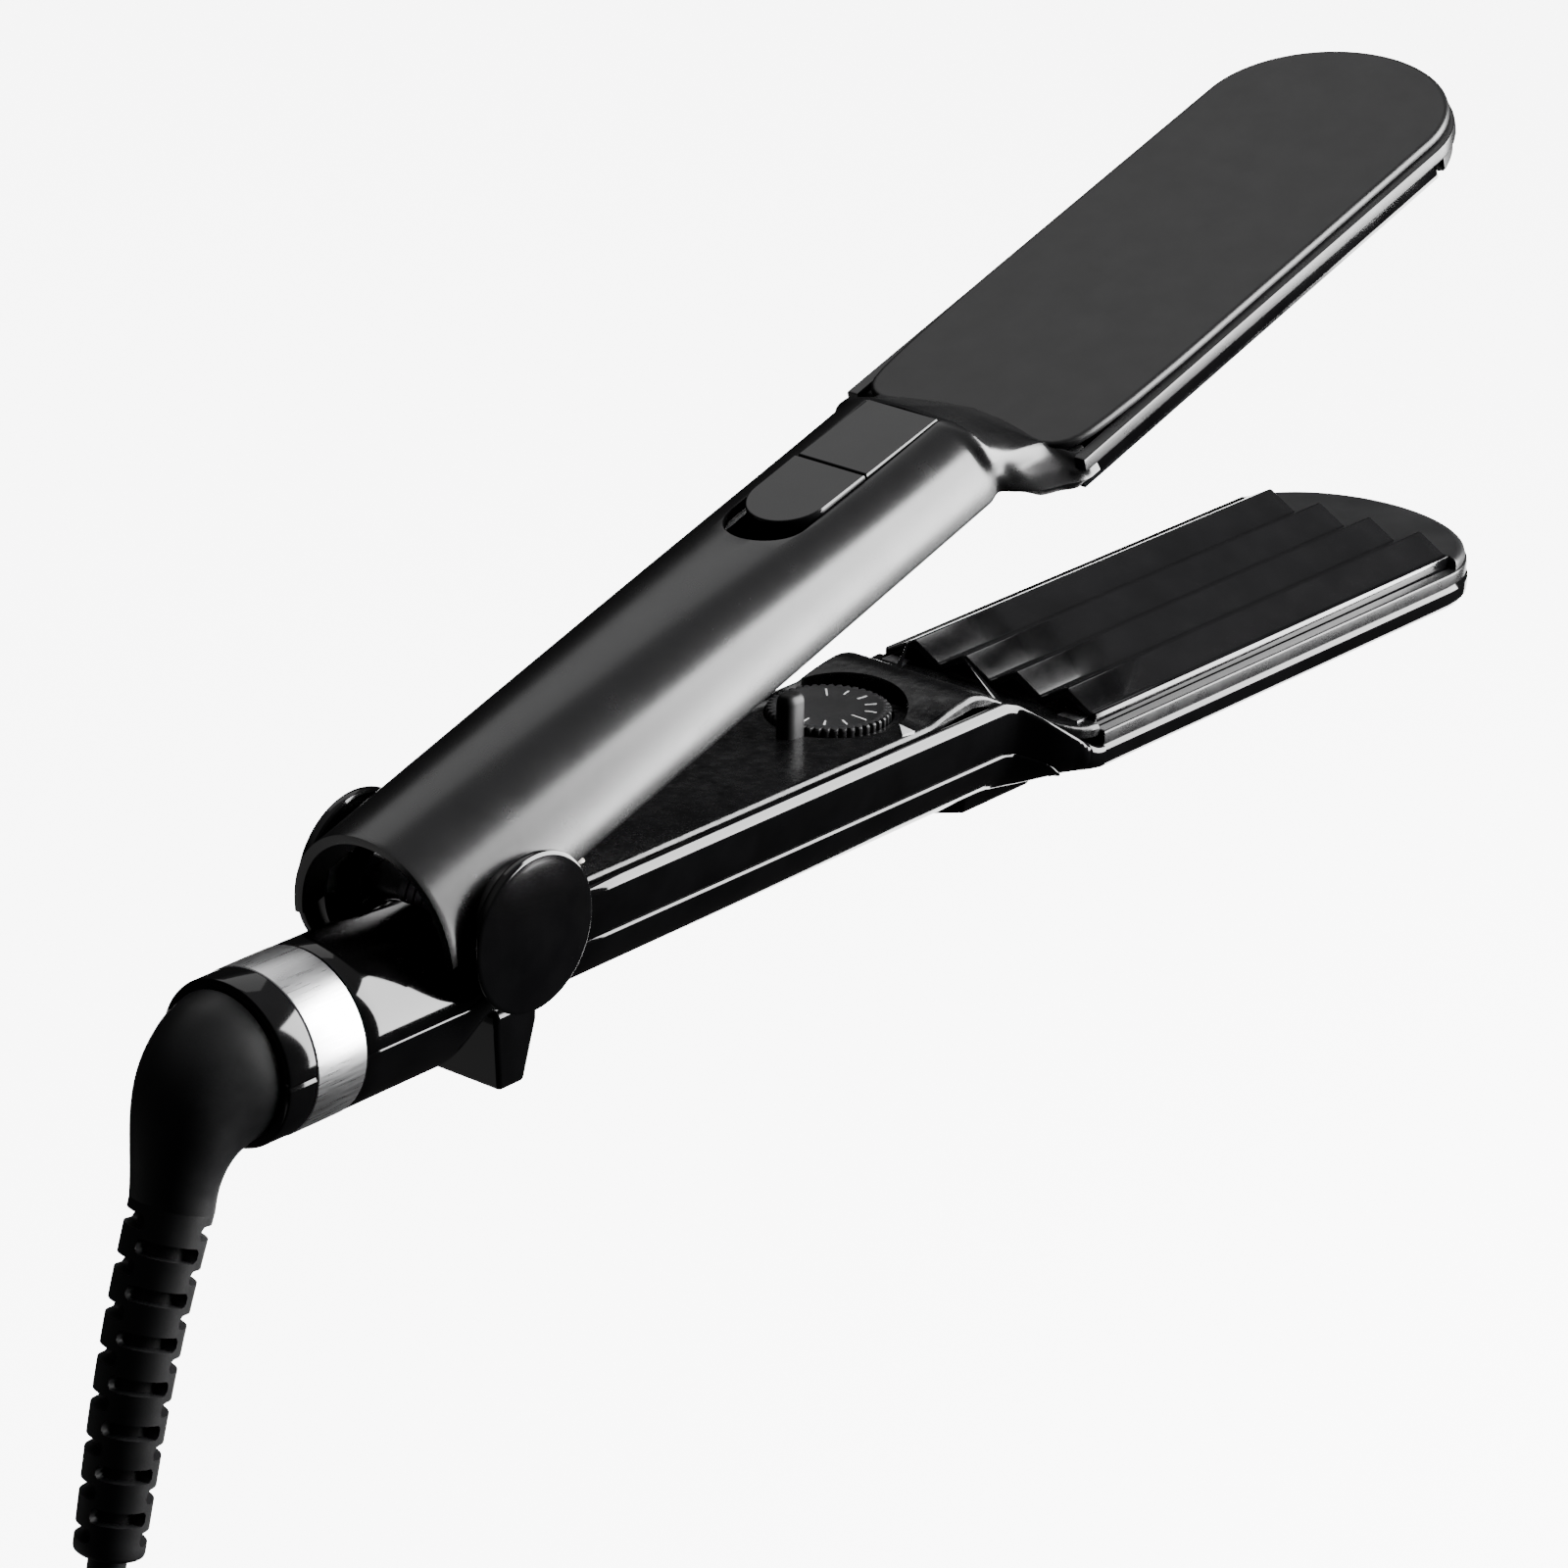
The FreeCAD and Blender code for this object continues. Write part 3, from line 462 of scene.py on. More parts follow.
def rim_lip(x):
    """Half width across the casing's rim, inside its rounded shoulder."""
    half, _, _, _, r = table(LOW_ROWS, x)
    return half - r * (1 - math.cos(SHOULDER)) - 0.3


def low_half(x):
    """Outer points of the left half of the lower casing's section, from rim to middle of the floor."""
    half, rim, floor_z, power, r = table(LOW_ROWS, x)
    base = rim - r * math.sin(SHOULDER)
    points = [(rim_lip(x), rim + 0.05)]
    for i in range(9):
        a = SHOULDER * (1 - i / 8)
        points.append((half - r * (1 - math.cos(a)), base + r * math.sin(a)))
    for i in range(1, 61):
        t = math.pi / 2 * i / 60
        points.append((half * math.cos(t) ** (2 / power),
                       base - (base - floor_z) * math.sin(t) ** (2 / power)))
    return points


def clip_section(points, z_cut, above):
    """Keeps the part of a falling line of (y, z) points on one side of a height."""
    kept = []
    for a, b in zip(points, points[1:]):
        a_in, b_in = (a[1] >= z_cut) == above, (b[1] >= z_cut) == above
        if a_in and not kept:
            kept.append(a)
        if a_in != b_in:
            t = (z_cut - a[1]) / (b[1] - a[1])
            kept.append((lerp(a[0], b[0], t), z_cut))
        if b_in:
            kept.append(b)
    return kept


def resample(points, count):
    """The same line with evenly spaced points."""
    lengths = [0.0]
    for a, b in zip(points, points[1:]):
        lengths.append(lengths[-1] + math.dist(a, b))
    out, k = [], 0
    for i in range(count):
        want = lengths[-1] * i / (count - 1)
        while k < len(lengths) - 2 and lengths[k + 1] < want:
            k += 1
        span = lengths[k + 1] - lengths[k]
        t = (want - lengths[k]) / span if span > 1e-9 else 0.0
        out.append(tuple(lerp(u, v, t) for u, v in zip(points[k], points[k + 1])))
    return out


def stations(start, end, step):
    n = max(1, round((end - start) / step))
    return [lerp(start, end, i / n) for i in range(n + 1)]


def thicken(piece, wall):
    """Adds a wall towards the inside of an open sheet."""
    work = bmesh.new()
    work.from_mesh(piece.data)
    work.normal_update()
    middle = sum((v.co.z for v in work.verts)) / len(work.verts)
    outward = 0.0
    for face in work.faces:
        centre = face.calc_center_median()
        outward += face.normal.dot(Vector((0.0, centre.y, centre.z - middle))) * face.calc_area()
    if outward < 0:
        bmesh.ops.reverse_faces(work, faces=work.faces)
    work.to_mesh(piece.data)
    work.free()
    mod = piece.modifiers.new("wall", "SOLIDIFY")
    mod.thickness = wall * MM
    mod.offset = -1
    mod.use_even_offset = True
    apply_modifiers(piece, 40)


def strip(name, xs, section, material, replaced, wall, rim=0.3):
    """A casing sheet through sections of (y, z) points, with a wall and rounded edges."""
    piece = finish_mesh(name, rings([[(x, y, z) for y, z in section(x)] for x in xs], False, False),
                        closed, material, "lower_arm", replaced, 40)
    thicken(piece, wall)
    bevel(piece, rim, 2, 50, 40)
    return piece


def main_section(x):
    return resample(clip_section(low_half(x), table(SEAM_ROWS, x)[0] + 0.12, True), 26)


def other_side(section):
    return lambda x: [(-y, z) for y, z in section(x)]


def cover_section(x):
    """Bottom cover from its left edge to its right edge, a hair proud of the casing above."""
    side = resample(clip_section(low_half(x), table(SEAM_ROWS, x)[0] - 0.12, False), 26)
    edge, top = side[0]
    side = [(edge + 0.1, top), (edge + 0.3, top - 0.5)] + [(y + 0.3, z) for y, z in side[1:-1]]
    return side + [(0.0, table(LOW_ROWS, x)[2])] + [(-y, z) for y, z in reversed(side)]


def head_section(x):
    side = resample(low_half(x), 44)
    return side + [(-y, z) for y, z in reversed(side[:-1])]


long_run = stations(17.0, 137.0, 10.0)
strip("casing_left", long_run + stations(138.4, 153.6, 0.8), main_section, GLOSS, ("lower_main_shell",), 1.8)
strip("casing_right", long_run + stations(138.4, 153.6, 0.8), other_side(main_section), GLOSS, (), 1.8)
strip("bottom_cover", long_run + stations(138.4, 151.4, 0.8), cover_section, GLOSS,
      ("lower_bottom_cover",), 1.8, 0.12)
strip("casing_neck", stations(153.6, 158.0, 0.55), head_section, GLOSS, (), 1.6, 0.15)


def head_housing():
    """Underside moulding of the head, outside the plate carrier."""
    profile = [(29.3 - y, z) for y, z in resample(low_half(158.0), 26) if y > 8]
    finish_mesh("head_housing", slab([(i, z) for i, z in reversed(profile)] + [(2.6, -9.4), (2.6, -12.5)],
                                     158.0), closed, GLOSS, "lower_arm", (), 30)


head_housing()


# ---------------------------------------------------------------- barrel and hinge block
def block_ring(x, count=96):
    """Closed outer ring of the barrel, which turns into the flat-sided hinge block."""
    t = smooth((x + 11.0) / 10.0)
    half = lerp(15.7, 16.4, t)
    top = lerp(BARREL_Z + 15.7, 2.2, t)
    low = lerp(BARREL_Z - 15.7, -22.7, t)
    middle = lerp(BARREL_Z, -8.5, t)
    power_up, power_down = lerp(2.0, 4.2, t), lerp(2.0, 2.15, t)
    ring = []
    for k in range(count):
        a = 2 * math.pi * k / count
        c, s = math.cos(a), math.sin(a)
        power = power_up if s > 0 else power_down
        y = half * math.copysign(abs(c) ** (2 / power), c)
        z = middle + (top - middle if s > 0 else middle - low) * math.copysign(abs(s) ** (2 / power), s)
        ring.append((x, y, z))
    return ring


def block_half(name, upper):
    """The barrel's upper or lower moulding, which meet in a seam at the height of its axis."""
    loops = []
    for x in stations(-36.4, -12.0, 4.0) + stations(-11.0, 17.2, 1.2):
        ring = block_ring(x)
        n = len(ring) // 2
        points = ring[:n + 1] if upper else ring[n:] + ring[:1]
        half = [(y, z + (0.07 if upper else -0.07)) for _, y, z in points]
        loops.append([(x, y, z) for y, z in half])
    piece = finish_mesh(name, rings(loops, False, False), closed, GLOSS, "lower_arm", (), 40)
    thicken(piece, 2.0)
    return piece


def barrel():
    """Both mouldings of the barrel, the upper one with the slot for the upper arm."""
    top_half = block_half("barrel_top", True)
    cut(top_half, plain("slot", *prism([(-9, -13.6), (19, -13.6), (19, 13.6), (-9, 13.6)], -3.0, 12.0),
                        closed), 40)
    bevel(top_half, 0.28, 2, 50, 40)
    bevel(block_half("barrel_underside", False), 0.34, 2, 50, 40)


barrel()


def hinge_sides():
    """Hinge ears and the round cap discs outside them."""
    for side, label in SIDES:
        ear = [(13.9, 4.1), (13.9, 7.0), (14.3, 7.5), (16.3, 7.5), (16.6, 7.2), (16.6, 4.1), (13.9, 4.1)]
        finish_mesh("hinge_ear_" + label, turned([(a, r) for a, r in ear], (0, 0, 0), (0, side, 0), 64,
                                                 cap=False), closed, GLOSS, "lower_arm", (), 30)
        cap = [(20.2, 0.01), (20.2, 14.6), (20.5, 15.0), (21.0, 15.2), (21.8, 15.2), (22.1, 15.08),
               (22.26, 14.8)]
        cap += [(23.3 - 1.0 * (r / 14.4) ** 2, r) for r in (14.4, 13.4, 12.0, 10.0, 8.0, 6.0, 4.0, 2.0, 0.01)]
        finish_mesh("cap_disc_" + label, turned(cap, (0, 0, 0), (0, side, 0), 144), closed, CAP,
                    "lower_arm", ("hinge_cap_" + label,), 28)


hinge_sides()


def rear_foot():
    """Fin under the hinge on which the tool stands."""
    verts, faces = rings([[(x, side * w, z) for x, side, w, z in loop] for loop in (
        [(1.6, 1, 11.5, -20.0), (1.6, -1, 11.5, -20.0), (12.6, -1, 11.5, -20.0), (12.6, 1, 11.5, -20.0)],
        [(1.5, 1, 11.5, -24.0), (1.5, -1, 11.5, -24.0), (12.6, -1, 11.5, -24.0), (12.6, 1, 11.5, -24.0)],
        [(2.6, 1, 11.3, -35.6), (2.6, -1, 11.3, -35.6), (9.4, -1, 11.3, -35.6), (9.4, 1, 11.3, -35.6)])])
    foot = finish_mesh("rear_foot", (verts, faces), closed, GLOSS, "lower_arm", ("rear_stand_foot",), 30)
    bevel(foot, 1.0, 4, 40, 30)
    weigh(foot)


rear_foot()


def front_foot():
    """Wedge under the neck on which the hot end rests."""
    front = []
    for z, grow in ((-15.0, 0.0), (-21.4, 0.0), (-23.9, -0.1), (-24.4, -0.7)):
        nose_x = 133.6 if z < -20 else 137.0
        front.append([(140.5, 8.5 + grow, z), (nose_x + 1.5 - grow, 3.0, z), (nose_x + 1.0 - grow, 0.0, z),
                      (nose_x + 1.5 - grow, -3.0, z), (140.5, -8.5 - grow, z), (161.2 + grow, -8.5 - grow, z),
                      (161.2 + grow, 8.5 + grow, z)])
    foot = finish_mesh("front_foot", rings(front), closed, GLOSS, "lower_arm", ("front_rest_foot",), 30)
    bevel(foot, 0.5, 3, 40, 30)
    weigh(foot)


front_foot()


# ---------------------------------------------------------------- band, collar, swivel elbow


def chrome_band():
    """Brushed band round the barrel."""
    band = [(-49.1, 14.6), (-49.1, 15.65), (-48.95, 15.82), (-48.7, 15.85), (-43.0, 15.87), (-37.2, 15.85),
            (-36.95, 15.82), (-36.8, 15.65), (-36.8, 14.6)]
    finish_mesh("band", turned(band, AXIS, (1, 0, 0), 160, cap=False), closed, CHROME, "lower_arm",
                ("chrome_band",), 30)


chrome_band()


def split_ring(name, x0, x1, radius, inner):
    """A ring moulded in two halves with a fine seam on each side at the height of its axis."""
    loops = []
    for x, r in ((x0, inner), (x0, radius - 0.5), (x0 + 0.18, radius - 0.14), (x0 + 0.6, radius),
                 (x1 - 0.3, radius), (x1, radius - 0.25), (x1, inner)):
        loop = []
        for k in range(160):
            a = 2 * math.pi * k / 160
            groove = 0.35 if min(abs(math.sin(a)), 1) < 0.012 and r > inner + 0.1 else 0.0
            loop.append((x, (r - groove) * math.cos(a), BARREL_Z + (r - groove) * math.sin(a)))
        loops.append(loop)
    return finish_mesh(name, rings(loops, True, False), closed, CAP, "lower_arm", ("end_collar",), 30)


split_ring("collar", -56.0, -49.1, 15.7, 12.4)


ELBOW_ROWS = [
    (0, -56.6, 0.5, -56.6, -27.3, 13.9),
    (1, -61.0, -0.6, -58.2, -28.0, 13.2),
    (2, -65.5, -2.8, -59.5, -29.0, 12.2),
    (3, -70.0, -6.5, -60.4, -30.2, 11.1),
    (4, -73.2, -11.5, -61.1, -31.6, 10.1),
    (5, -75.0, -17.5, -61.6, -33.0, 9.2),
    (6, -75.9, -23.5, -61.9, -34.6, 8.4),
    (7, -76.4, -28.5, -62.1, -36.4, 7.9),
    (8, -76.83, -32.75, -62.37, -38.05, 7.7),
]


def elbow():
    """Bent rubber boot: each ring runs from the outside of the bend to the inside of it."""
    loops = []
    for row in stations(0, 8, 0.2):
        out_x, out_z, in_x, in_z, half = table(ELBOW_ROWS, row)
        loop = []
        for k in range(96):
            a = 2 * math.pi * k / 96
            t = (1 - math.cos(a)) / 2
            loop.append((lerp(out_x, in_x, t), half * math.sin(a), lerp(out_z, in_z, t)))
        loops.append(loop)
    return finish_mesh("elbow", rings(loops), closed, RUBBER, "swivel", ("swivel_elbow",), 60)


elbow()

RELIEF = [(-69.6, -35.4), (-72.9, -44.4), (-76.0, -53.5), (-79.0, -63.6), (-81.6, -73.6), (-84.9, -88.4),
          (-86.7, -97.0)]
RELIEF_LENGTH = sum(math.dist(a, b) for a, b in zip(RELIEF, RELIEF[1:]))


def relief_point(distance):
    """Centre and smoothed direction at a distance along the strain relief."""
    def at(d):
        for a, b in zip(RELIEF, RELIEF[1:]):
            span = math.dist(a, b)
            if d <= span or b == RELIEF[-1]:
                return Vector((lerp(a[0], b[0], d / span), 0, lerp(a[1], b[1], d / span)))
            d -= span
    near = [at(distance + s) for s in (-4, -2, 0, 2, 4)]
    middle = sum(near, Vector()) / 5 if 4 < distance < RELIEF_LENGTH - 4 else at(distance)
    return middle, (near[4] - near[0]).normalized()


def relief():
    """Tapered sleeve with square notches at the sides and round-ended slots between them."""
    pitch, first = 8.1, 3.3
    notches = []
    for k in range(16):
        where = first + pitch / 2 * k
        if where < RELIEF_LENGTH - 2.5:
            notches.append((where, k % 2))
    rows = [0.0, 0.4]
    for where, _ in notches:
        rows += [where + off for off in (-1.38, -1.3, -1.1, -0.75, 0.0, 0.75, 1.1, 1.3, 1.38)]
    rows += [RELIEF_LENGTH - 0.8, RELIEF_LENGTH - 0.3, RELIEF_LENGTH]
    count = 180
    loops = []
    for d in rows:
        centre, axis = relief_point(d)
        side = Vector((0, 1, 0))
        ahead = side.cross(axis).normalized()
        outer = lerp(7.65, 6.45, d / RELIEF_LENGTH)
        if d > RELIEF_LENGTH - 0.5:
            outer -= 0.5 if d > RELIEF_LENGTH - 0.1 else 0.12
        loop = []
        for k in range(count):
            a = 2 * math.pi * k / count
            direction = ahead * math.cos(a) + side * math.sin(a)
            turn = math.atan2(direction.y, direction.x) - (VIEW_SIDE + math.radians(14))
            r = outer
            for where, kind in notches:
                off = abs(d - where)
                if off > 1.31:
                    continue
                away = abs((turn + (math.pi / 2 if kind == 0 else 0) + math.pi / 2) % math.pi - math.pi / 2)
                end = 0.17 * (1 - math.sqrt(max(0.0, 1 - (off / 1.36) ** 2)))
                if away < math.radians(47) - end:
                    r = outer - 2.3
            loop.append(tuple(centre + direction * r))
        loops.append(loop)
    loops.insert(0,
                 [tuple(relief_point(-1.5)[0] + (Vector(p) - relief_point(0)[0]) * 0.98) for p in loops[0]])
    centre = relief_point(RELIEF_LENGTH)[0]
    loops.append([tuple(centre + (Vector(p) - centre) * 0.62) for p in loops[-1]])
    return finish_mesh("relief", rings(loops), closed, RUBBER, "swivel", ("strain_relief",), 38)


relief()

# ---------------------------------------------------------------- cord, tie and plug
CORD_D = 7.0
HANK_X, HANK_TOP, HANK_LOW = -88.8, -155.5, -263.5
FOLDS = (21.4, 28.6)
WAIST = (6.5, 13.6)
COLUMNS = (-11.2, -3.75, 3.75, 11.2)
SLOTS = [(1, 1), (1, 0), (0, 0), (0, 1), (0, 2), (0, 3), (1, 3), (1, 2)]


def hank_side(layer, s):
    """Distance of a strand from the middle of the hank, s from -1 at one fold to 1 at the other."""
    blend = 0.5 - 0.5 * math.cos(math.pi * abs(s))
    return lerp(WAIST[layer], FOLDS[layer], blend)


def hank_points():
    """Control points of the turns: down on the left, round the lower fold, up, and over to the next place."""
    points = []
    middle, reach = (HANK_TOP + HANK_LOW) / 2, (HANK_TOP - HANK_LOW) / 2
    for k, (layer, column) in enumerate(SLOTS):
        x = COLUMNS[column]
        for s in (0.62, 0.2, -0.2, -0.62):
            points.append((x, hank_side(layer, s), middle + reach * s))
        if k == len(SLOTS) - 1:
            break
        fold = FOLDS[layer] / 0.97
        for i in range(7):
            a = math.pi * i / 6
            points.append((x, fold * math.cos(a), HANK_LOW - fold * math.sin(a)))
        for s in (-0.62, -0.2, 0.2, 0.62):
            points.append((x, -hank_side(layer, s), middle + reach * s))
        next_layer, next_column = SLOTS[k + 1]
        for i in range(7):
            t = i / 6
            a = math.pi * (1 - t)
            r = lerp(FOLDS[layer], FOLDS[next_layer], t) / 0.97
            points.append((lerp(x, COLUMNS[next_column], smooth(t)), r * math.cos(a),
                           HANK_TOP + r * math.sin(a)))
    return [(HANK_X + x, y, z) for x, y, z in points]


CORD_ROUTE = [
    (-86.7, 0.0, -97.0),
    (-88.5, 0.0, -105.6),
    (-89.4, 0.6, -115.0),
    (-90.6, 4.0, -124.0),
    (-91.6, 11.5, -131.5),
    (-92.4, 20.5, -139.0),
    (-92.6, 27.0, -149.0),
    (-92.6, 28.6, -158.0),
]
TAIL_ROUTE = [
    (-85.1, 27.6, -262.0),
    (-85.6, 24.4, -274.0),
    (-87.2, 18.6, -286.0),
    (-88.6, 13.2, -297.0),
    (-88.8, 12.0, -306.0),
    (-88.8, 12.0, -315.0),
]


def cord():
    data = bpy.data.curves.new("cord", "CURVE")
    data.dimensions = "3D"
    spline = data.splines.new("NURBS")
    points = CORD_ROUTE + hank_points() + TAIL_ROUTE
    spline.points.add(len(points) - 1)
    for target, p in zip(spline.points, points):
        target.co = (*closed(p), 1.0)
    spline.order_u = 3
    spline.use_endpoint_u = True
    spline.resolution_u = 6
    data.bevel_depth = CORD_D / 2 * MM
    data.bevel_resolution = 7
    data.use_fill_caps = True
    made = bpy.data.objects.new("cord", data)
    data.materials.append(SHEATH)
    bpy.context.scene.collection.objects.link(made)
    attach(made, "swivel")
    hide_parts("cord_lead", "cord_hank", "cord_tail")
    return made


def round_box(half_x, half_y, radius, steps=7):
    """Outline of a rectangle with round corners about the hank's middle."""
    points = []
    for cx, cy, start in ((1, 1, 0), (-1, 1, 90), (-1, -1, 180), (1, -1, 270)):
        for i in range(steps + 1):
            a = math.radians(start + 90 * i / steps)
            points.append((HANK_X + cx * (half_x - radius) + radius * math.cos(a),
                           cy * (half_y - radius) + radius * math.sin(a)))
    return points


def strap():
    """Strap round the waist of the hank, with its loose end lapped over on one side."""
    middle = (HANK_TOP + HANK_LOW) / 2
    loops = []
    for grow, z in ((0.0, -5), (1.0, -5), (1.1, -4.4), (1.1, 4.4), (1.0, 5), (0.0, 5), (0.0, -5)):
        loops.append([(x, y, middle + z) for x, y in round_box(15.0 + grow, 17.5 + grow, 6.0)])
    finish_mesh("strap", rings(loops, True, False), closed, STRAP, "swivel", ("hank_tie",), 50)
    lap = []
    for x in (-11.5, -11.2, 8.8, 9.2):
        ends = x in (-11.5, 9.2)
        y0, y1 = (-18.5, -18.75) if ends else (-18.5, -19.3)
        half = 4.0 if ends else 4.5
        lap.append([(HANK_X + x, y, middle + z) for y, z in ((y0, -half), (y1, -half), (y1, half),
                                                             (y0, half))])
    finish_mesh("strap_end", rings(lap), closed, STRAP, "swivel", (), 50)


def plug():
    """Moulded two-pin plug: ribbed neck, waisted body with a flat pin face, and round pins."""
    cx, cy = -88.8, 12.0
    neck = [(0.0, 3.6), (0.2, 4.9), (0.8, 5.2)]
    for k in range(3):
        z = 1.8 + 3.9 * k
        r = 5.3 + 0.45 * k
        neck += [(z, r), (z + 1.0, r - 1.1), (z + 1.6, r - 1.1), (z + 2.6, r + 0.2), (z + 3.4, r + 0.3)]
    neck += [(14.6, 6.9), (16.5, 7.6)]
    neck_piece = finish_mesh("plug_neck", turned(neck, (cx, cy, -313.6), (0, 0, -1), 72), closed, SHEATH,
                             "swivel", (), 40)
    loops = []
    for z, hx, hy, r in ((-327.6, 5.5, 7.0, 5.0), (-328.6, 7.0, 10.0, 6.0), (-330.4, 8.2, 12.8, 6.6),
                         (-333.5, 8.8, 14.4, 6.8), (-338.0, 8.9, 14.8, 6.4), (-343.5, 8.5, 14.2, 6.2),
                         (-349.5, 8.4, 14.1, 6.2), (-355.0, 8.8, 14.8, 6.0), (-360.6, 9.0, 15.0, 6.0),
                         (-361.6, 8.8, 14.8, 5.8), (-362.0, 8.3, 14.3, 5.4)):
        loops.append([(x - HANK_X + cx, y + cy, z) for x, y in round_box(hx, hy, r)])
    body_piece = finish_mesh("plug_shell", rings(loops), closed, SHEATH, "swivel", ("plug_body",), 40)
    pins = []
    for side, label in ((-1, "a"), (1, "b")):
        pin = [(0.0, 2.4), (10.0, 2.4), (10.2, 2.3), (17.4, 2.3), (18.3, 2.0), (18.8, 1.3), (19.0, 0.3)]
        shape = turned(pin, (cx, cy + 9.5 * side, -361.9), (0, 0, -1), 40)
        replaced = ("plug_pins",) if side < 0 else ()
        pins.append(finish_mesh("pin_" + label, shape, closed, NICKEL, "swivel", replaced, 40))
    return [neck_piece, body_piece] + pins


cord_piece = cord()
strap()
plug_pieces = plug()

# ---------------------------------------------------------------- deck, dial and post
DECK_ROWS = [
    (19.2, 3.0), (60.0, 3.0), (113.0, 3.0), (117.5, 3.1), (122.0, 4.1), (127.0, 5.0), (131.0, 5.4),
    (134.0, 4.9),
    (138.0, 3.1), (141.0, 1.2), (144.0, -0.6), (147.0, -2.5), (150.0, -3.8), (153.4, -4.7), (157.4, -4.9),
]


def deck():
    loops = []
    for x in [19.2, 19.4, 20.0] + stations(24.0, 112.0, 8.0) + stations(113.0, 156.8, 1.25) + [157.2, 157.4]:
        top = table(DECK_ROWS, x)[0]
        if x < 19.3 or x > 157.3:
            top -= 0.5
        half = min(17.1, rim_lip(x) - 0.5) if x < 140 else max(17.1, rim_lip(x) - 0.5)
        r = 1.1
        right = [(half, top - 2.4), (half, top - r)]
        for i in range(1, 6):
            a = math.pi / 2 * i / 5
            right.append((half - r + r * math.cos(a), top - r + r * math.sin(a)))
        right += [(half * 0.6, top + 0.02), (0.0, top + 0.03)]
        left = [(-y, z) for y, z in reversed(right[:-1])]
        loops.append([(x, y, z) for y, z in right + left])
    piece = finish_mesh("deck", rings(loops), closed, DECK, "lower_arm", ("lower_inner_cover",), 30)
    disc = [(x, max(-16.0, min(16.2, y))) for x, y in circle(DIAL, RECESS_R, 96)]
    cut(piece, plain("recess", *prism(disc, 2.1, 12.0), closed), 30)
    cut(piece, plain("hole", *prism(circle(DIAL, DIAL_HOLE_R, 96), -4.0, 12.0), closed), 30)
    bevel(piece, 0.4, 3, 48, 30)
    weigh(piece)
    return piece


deck()


def dial():
    teeth, per = 44, 8
    shape = (0.0, 0.05, 0.55, 0.95, 1.0, 1.0, 0.95, 0.55)
    loops = []
    for z, grow in ((0.2, -0.5), (0.55, 0.0), (3.15, 0.0), (3.45, -0.28), (3.55, -0.62)):
        loop = []
        for k in range(teeth * per):
            a = 2 * math.pi * k / (teeth * per)
            r = 11.25 + 0.85 * shape[k % per] + grow
            if z > 3.5:
                r = min(r, 10.9)
            loop.append((DIAL[0] + r * math.cos(a), DIAL[1] + r * math.sin(a), z))
        loops.append(loop)
    for r, z in ((10.2, 3.55), (9.95, 3.38), (4.0, 3.38), (0.2, 3.4)):
        loops.append([(x, y, z) for x, y in circle(DIAL, r, teeth * per)])
    finish_mesh("dial_wheel", rings(loops), closed, DIAL_FACE, "temperature_dial", ("temperature_dial",), 35)
    verts, faces = [], []
    for k in range(11):
        a = math.radians(-135 + 27 * k) - math.radians(92)
        long = 3.6 if k % 5 == 0 else 2.3
        along = Vector((math.cos(a), math.sin(a), 0))
        side = Vector((-math.sin(a), math.cos(a), 0))
        centre = Vector((DIAL[0], DIAL[1], 0))
        loop0, loop1 = [], []
        for u, v in ((9.4, 0.2), (9.4, -0.2), (9.4 - long, -0.16), (9.4 - long, 0.16)):
            p = centre + along * u + side * v
            loop0.append((p.x, p.y, 3.33))
            loop1.append((p.x, p.y, 3.44))
        v, f = rings([loop0, loop1])
        base = len(verts)
        verts += v
        faces += [tuple(i + base for i in face) for face in f]
    finish_mesh("dial_ticks", (verts, faces), closed, WHITE, "temperature_dial", (), 30)


dial()


def guide_post():
    """Rounded post beside the dial."""
    post = []
    for z, inset in ((-1.5, 0.0), (9.9, 0.0), (10.7, 0.16), (11.3, 0.6), (11.55, 1.1), (11.6, 1.6)):
        loop = []
        for k in range(48):
            a = 2 * math.pi * k / 48
            c, s = math.cos(a), math.sin(a)
            loop.append((96.6 + (2.7 - inset) * math.copysign(abs(c) ** 0.72, c),
                         (2.2 - inset * 0.9) * math.copysign(abs(s) ** 0.72, s), z))
        post.append(loop)
    finish_mesh("post", rings(post), closed, TRIM, "lower_arm", ("guide_post",), 40)


guide_post()


def dial_pointer():
    """White mark that the dial is read against."""
    wedge = [(114.4, -12.4), (110.6, -16.2), (113.6, -16.7)]
    finish_mesh("pointer", prism(wedge, 2.6, 3.35), closed, WHITE, "lower_arm", ("dial_pointer",), 30)


dial_pointer()


def pilot_lamp():
    """Domed lens of the pilot lamp."""
    lamp = [(0.0, 1.6), (3.2, 1.6), (3.7, 1.45), (4.1, 1.0), (4.25, 0.05)]
    finish_mesh("lamp", turned(lamp, (24.0, -10.5, -0.6), (0, 0, 1), 40), closed, LENS, "lower_arm",
                ("pilot_lamp",), 40)


pilot_lamp()


# ---------------------------------------------------------------- plates and carriers
def zigzag(lift):
    """Ridge line across a plate with slightly rounded crests and valleys."""
    corners = [(-PLATE_HALF, -RIDGE)] + [((i - 4) * PITCH / 2, -RIDGE * (i % 2 == 0)) for i in range(9)]
    corners.append((PLATE_HALF, -RIDGE))
    points = [corners[0]]
    for a, b, c in zip(corners, corners[1:], corners[2:]):
        back = (Vector(a) - Vector(b)).normalized()
        ahead = (Vector(c) - Vector(b)).normalized()
        cut_by = 0.42
        for t in (0.0, 0.5, 1.0):
            p = Vector(b) + back * cut_by * (1 - t) ** 2 + ahead * cut_by * t ** 2
            points.append((p.x, p.y))
    points.append(corners[-1])
    return [(y, z + lift) for y, z in points]


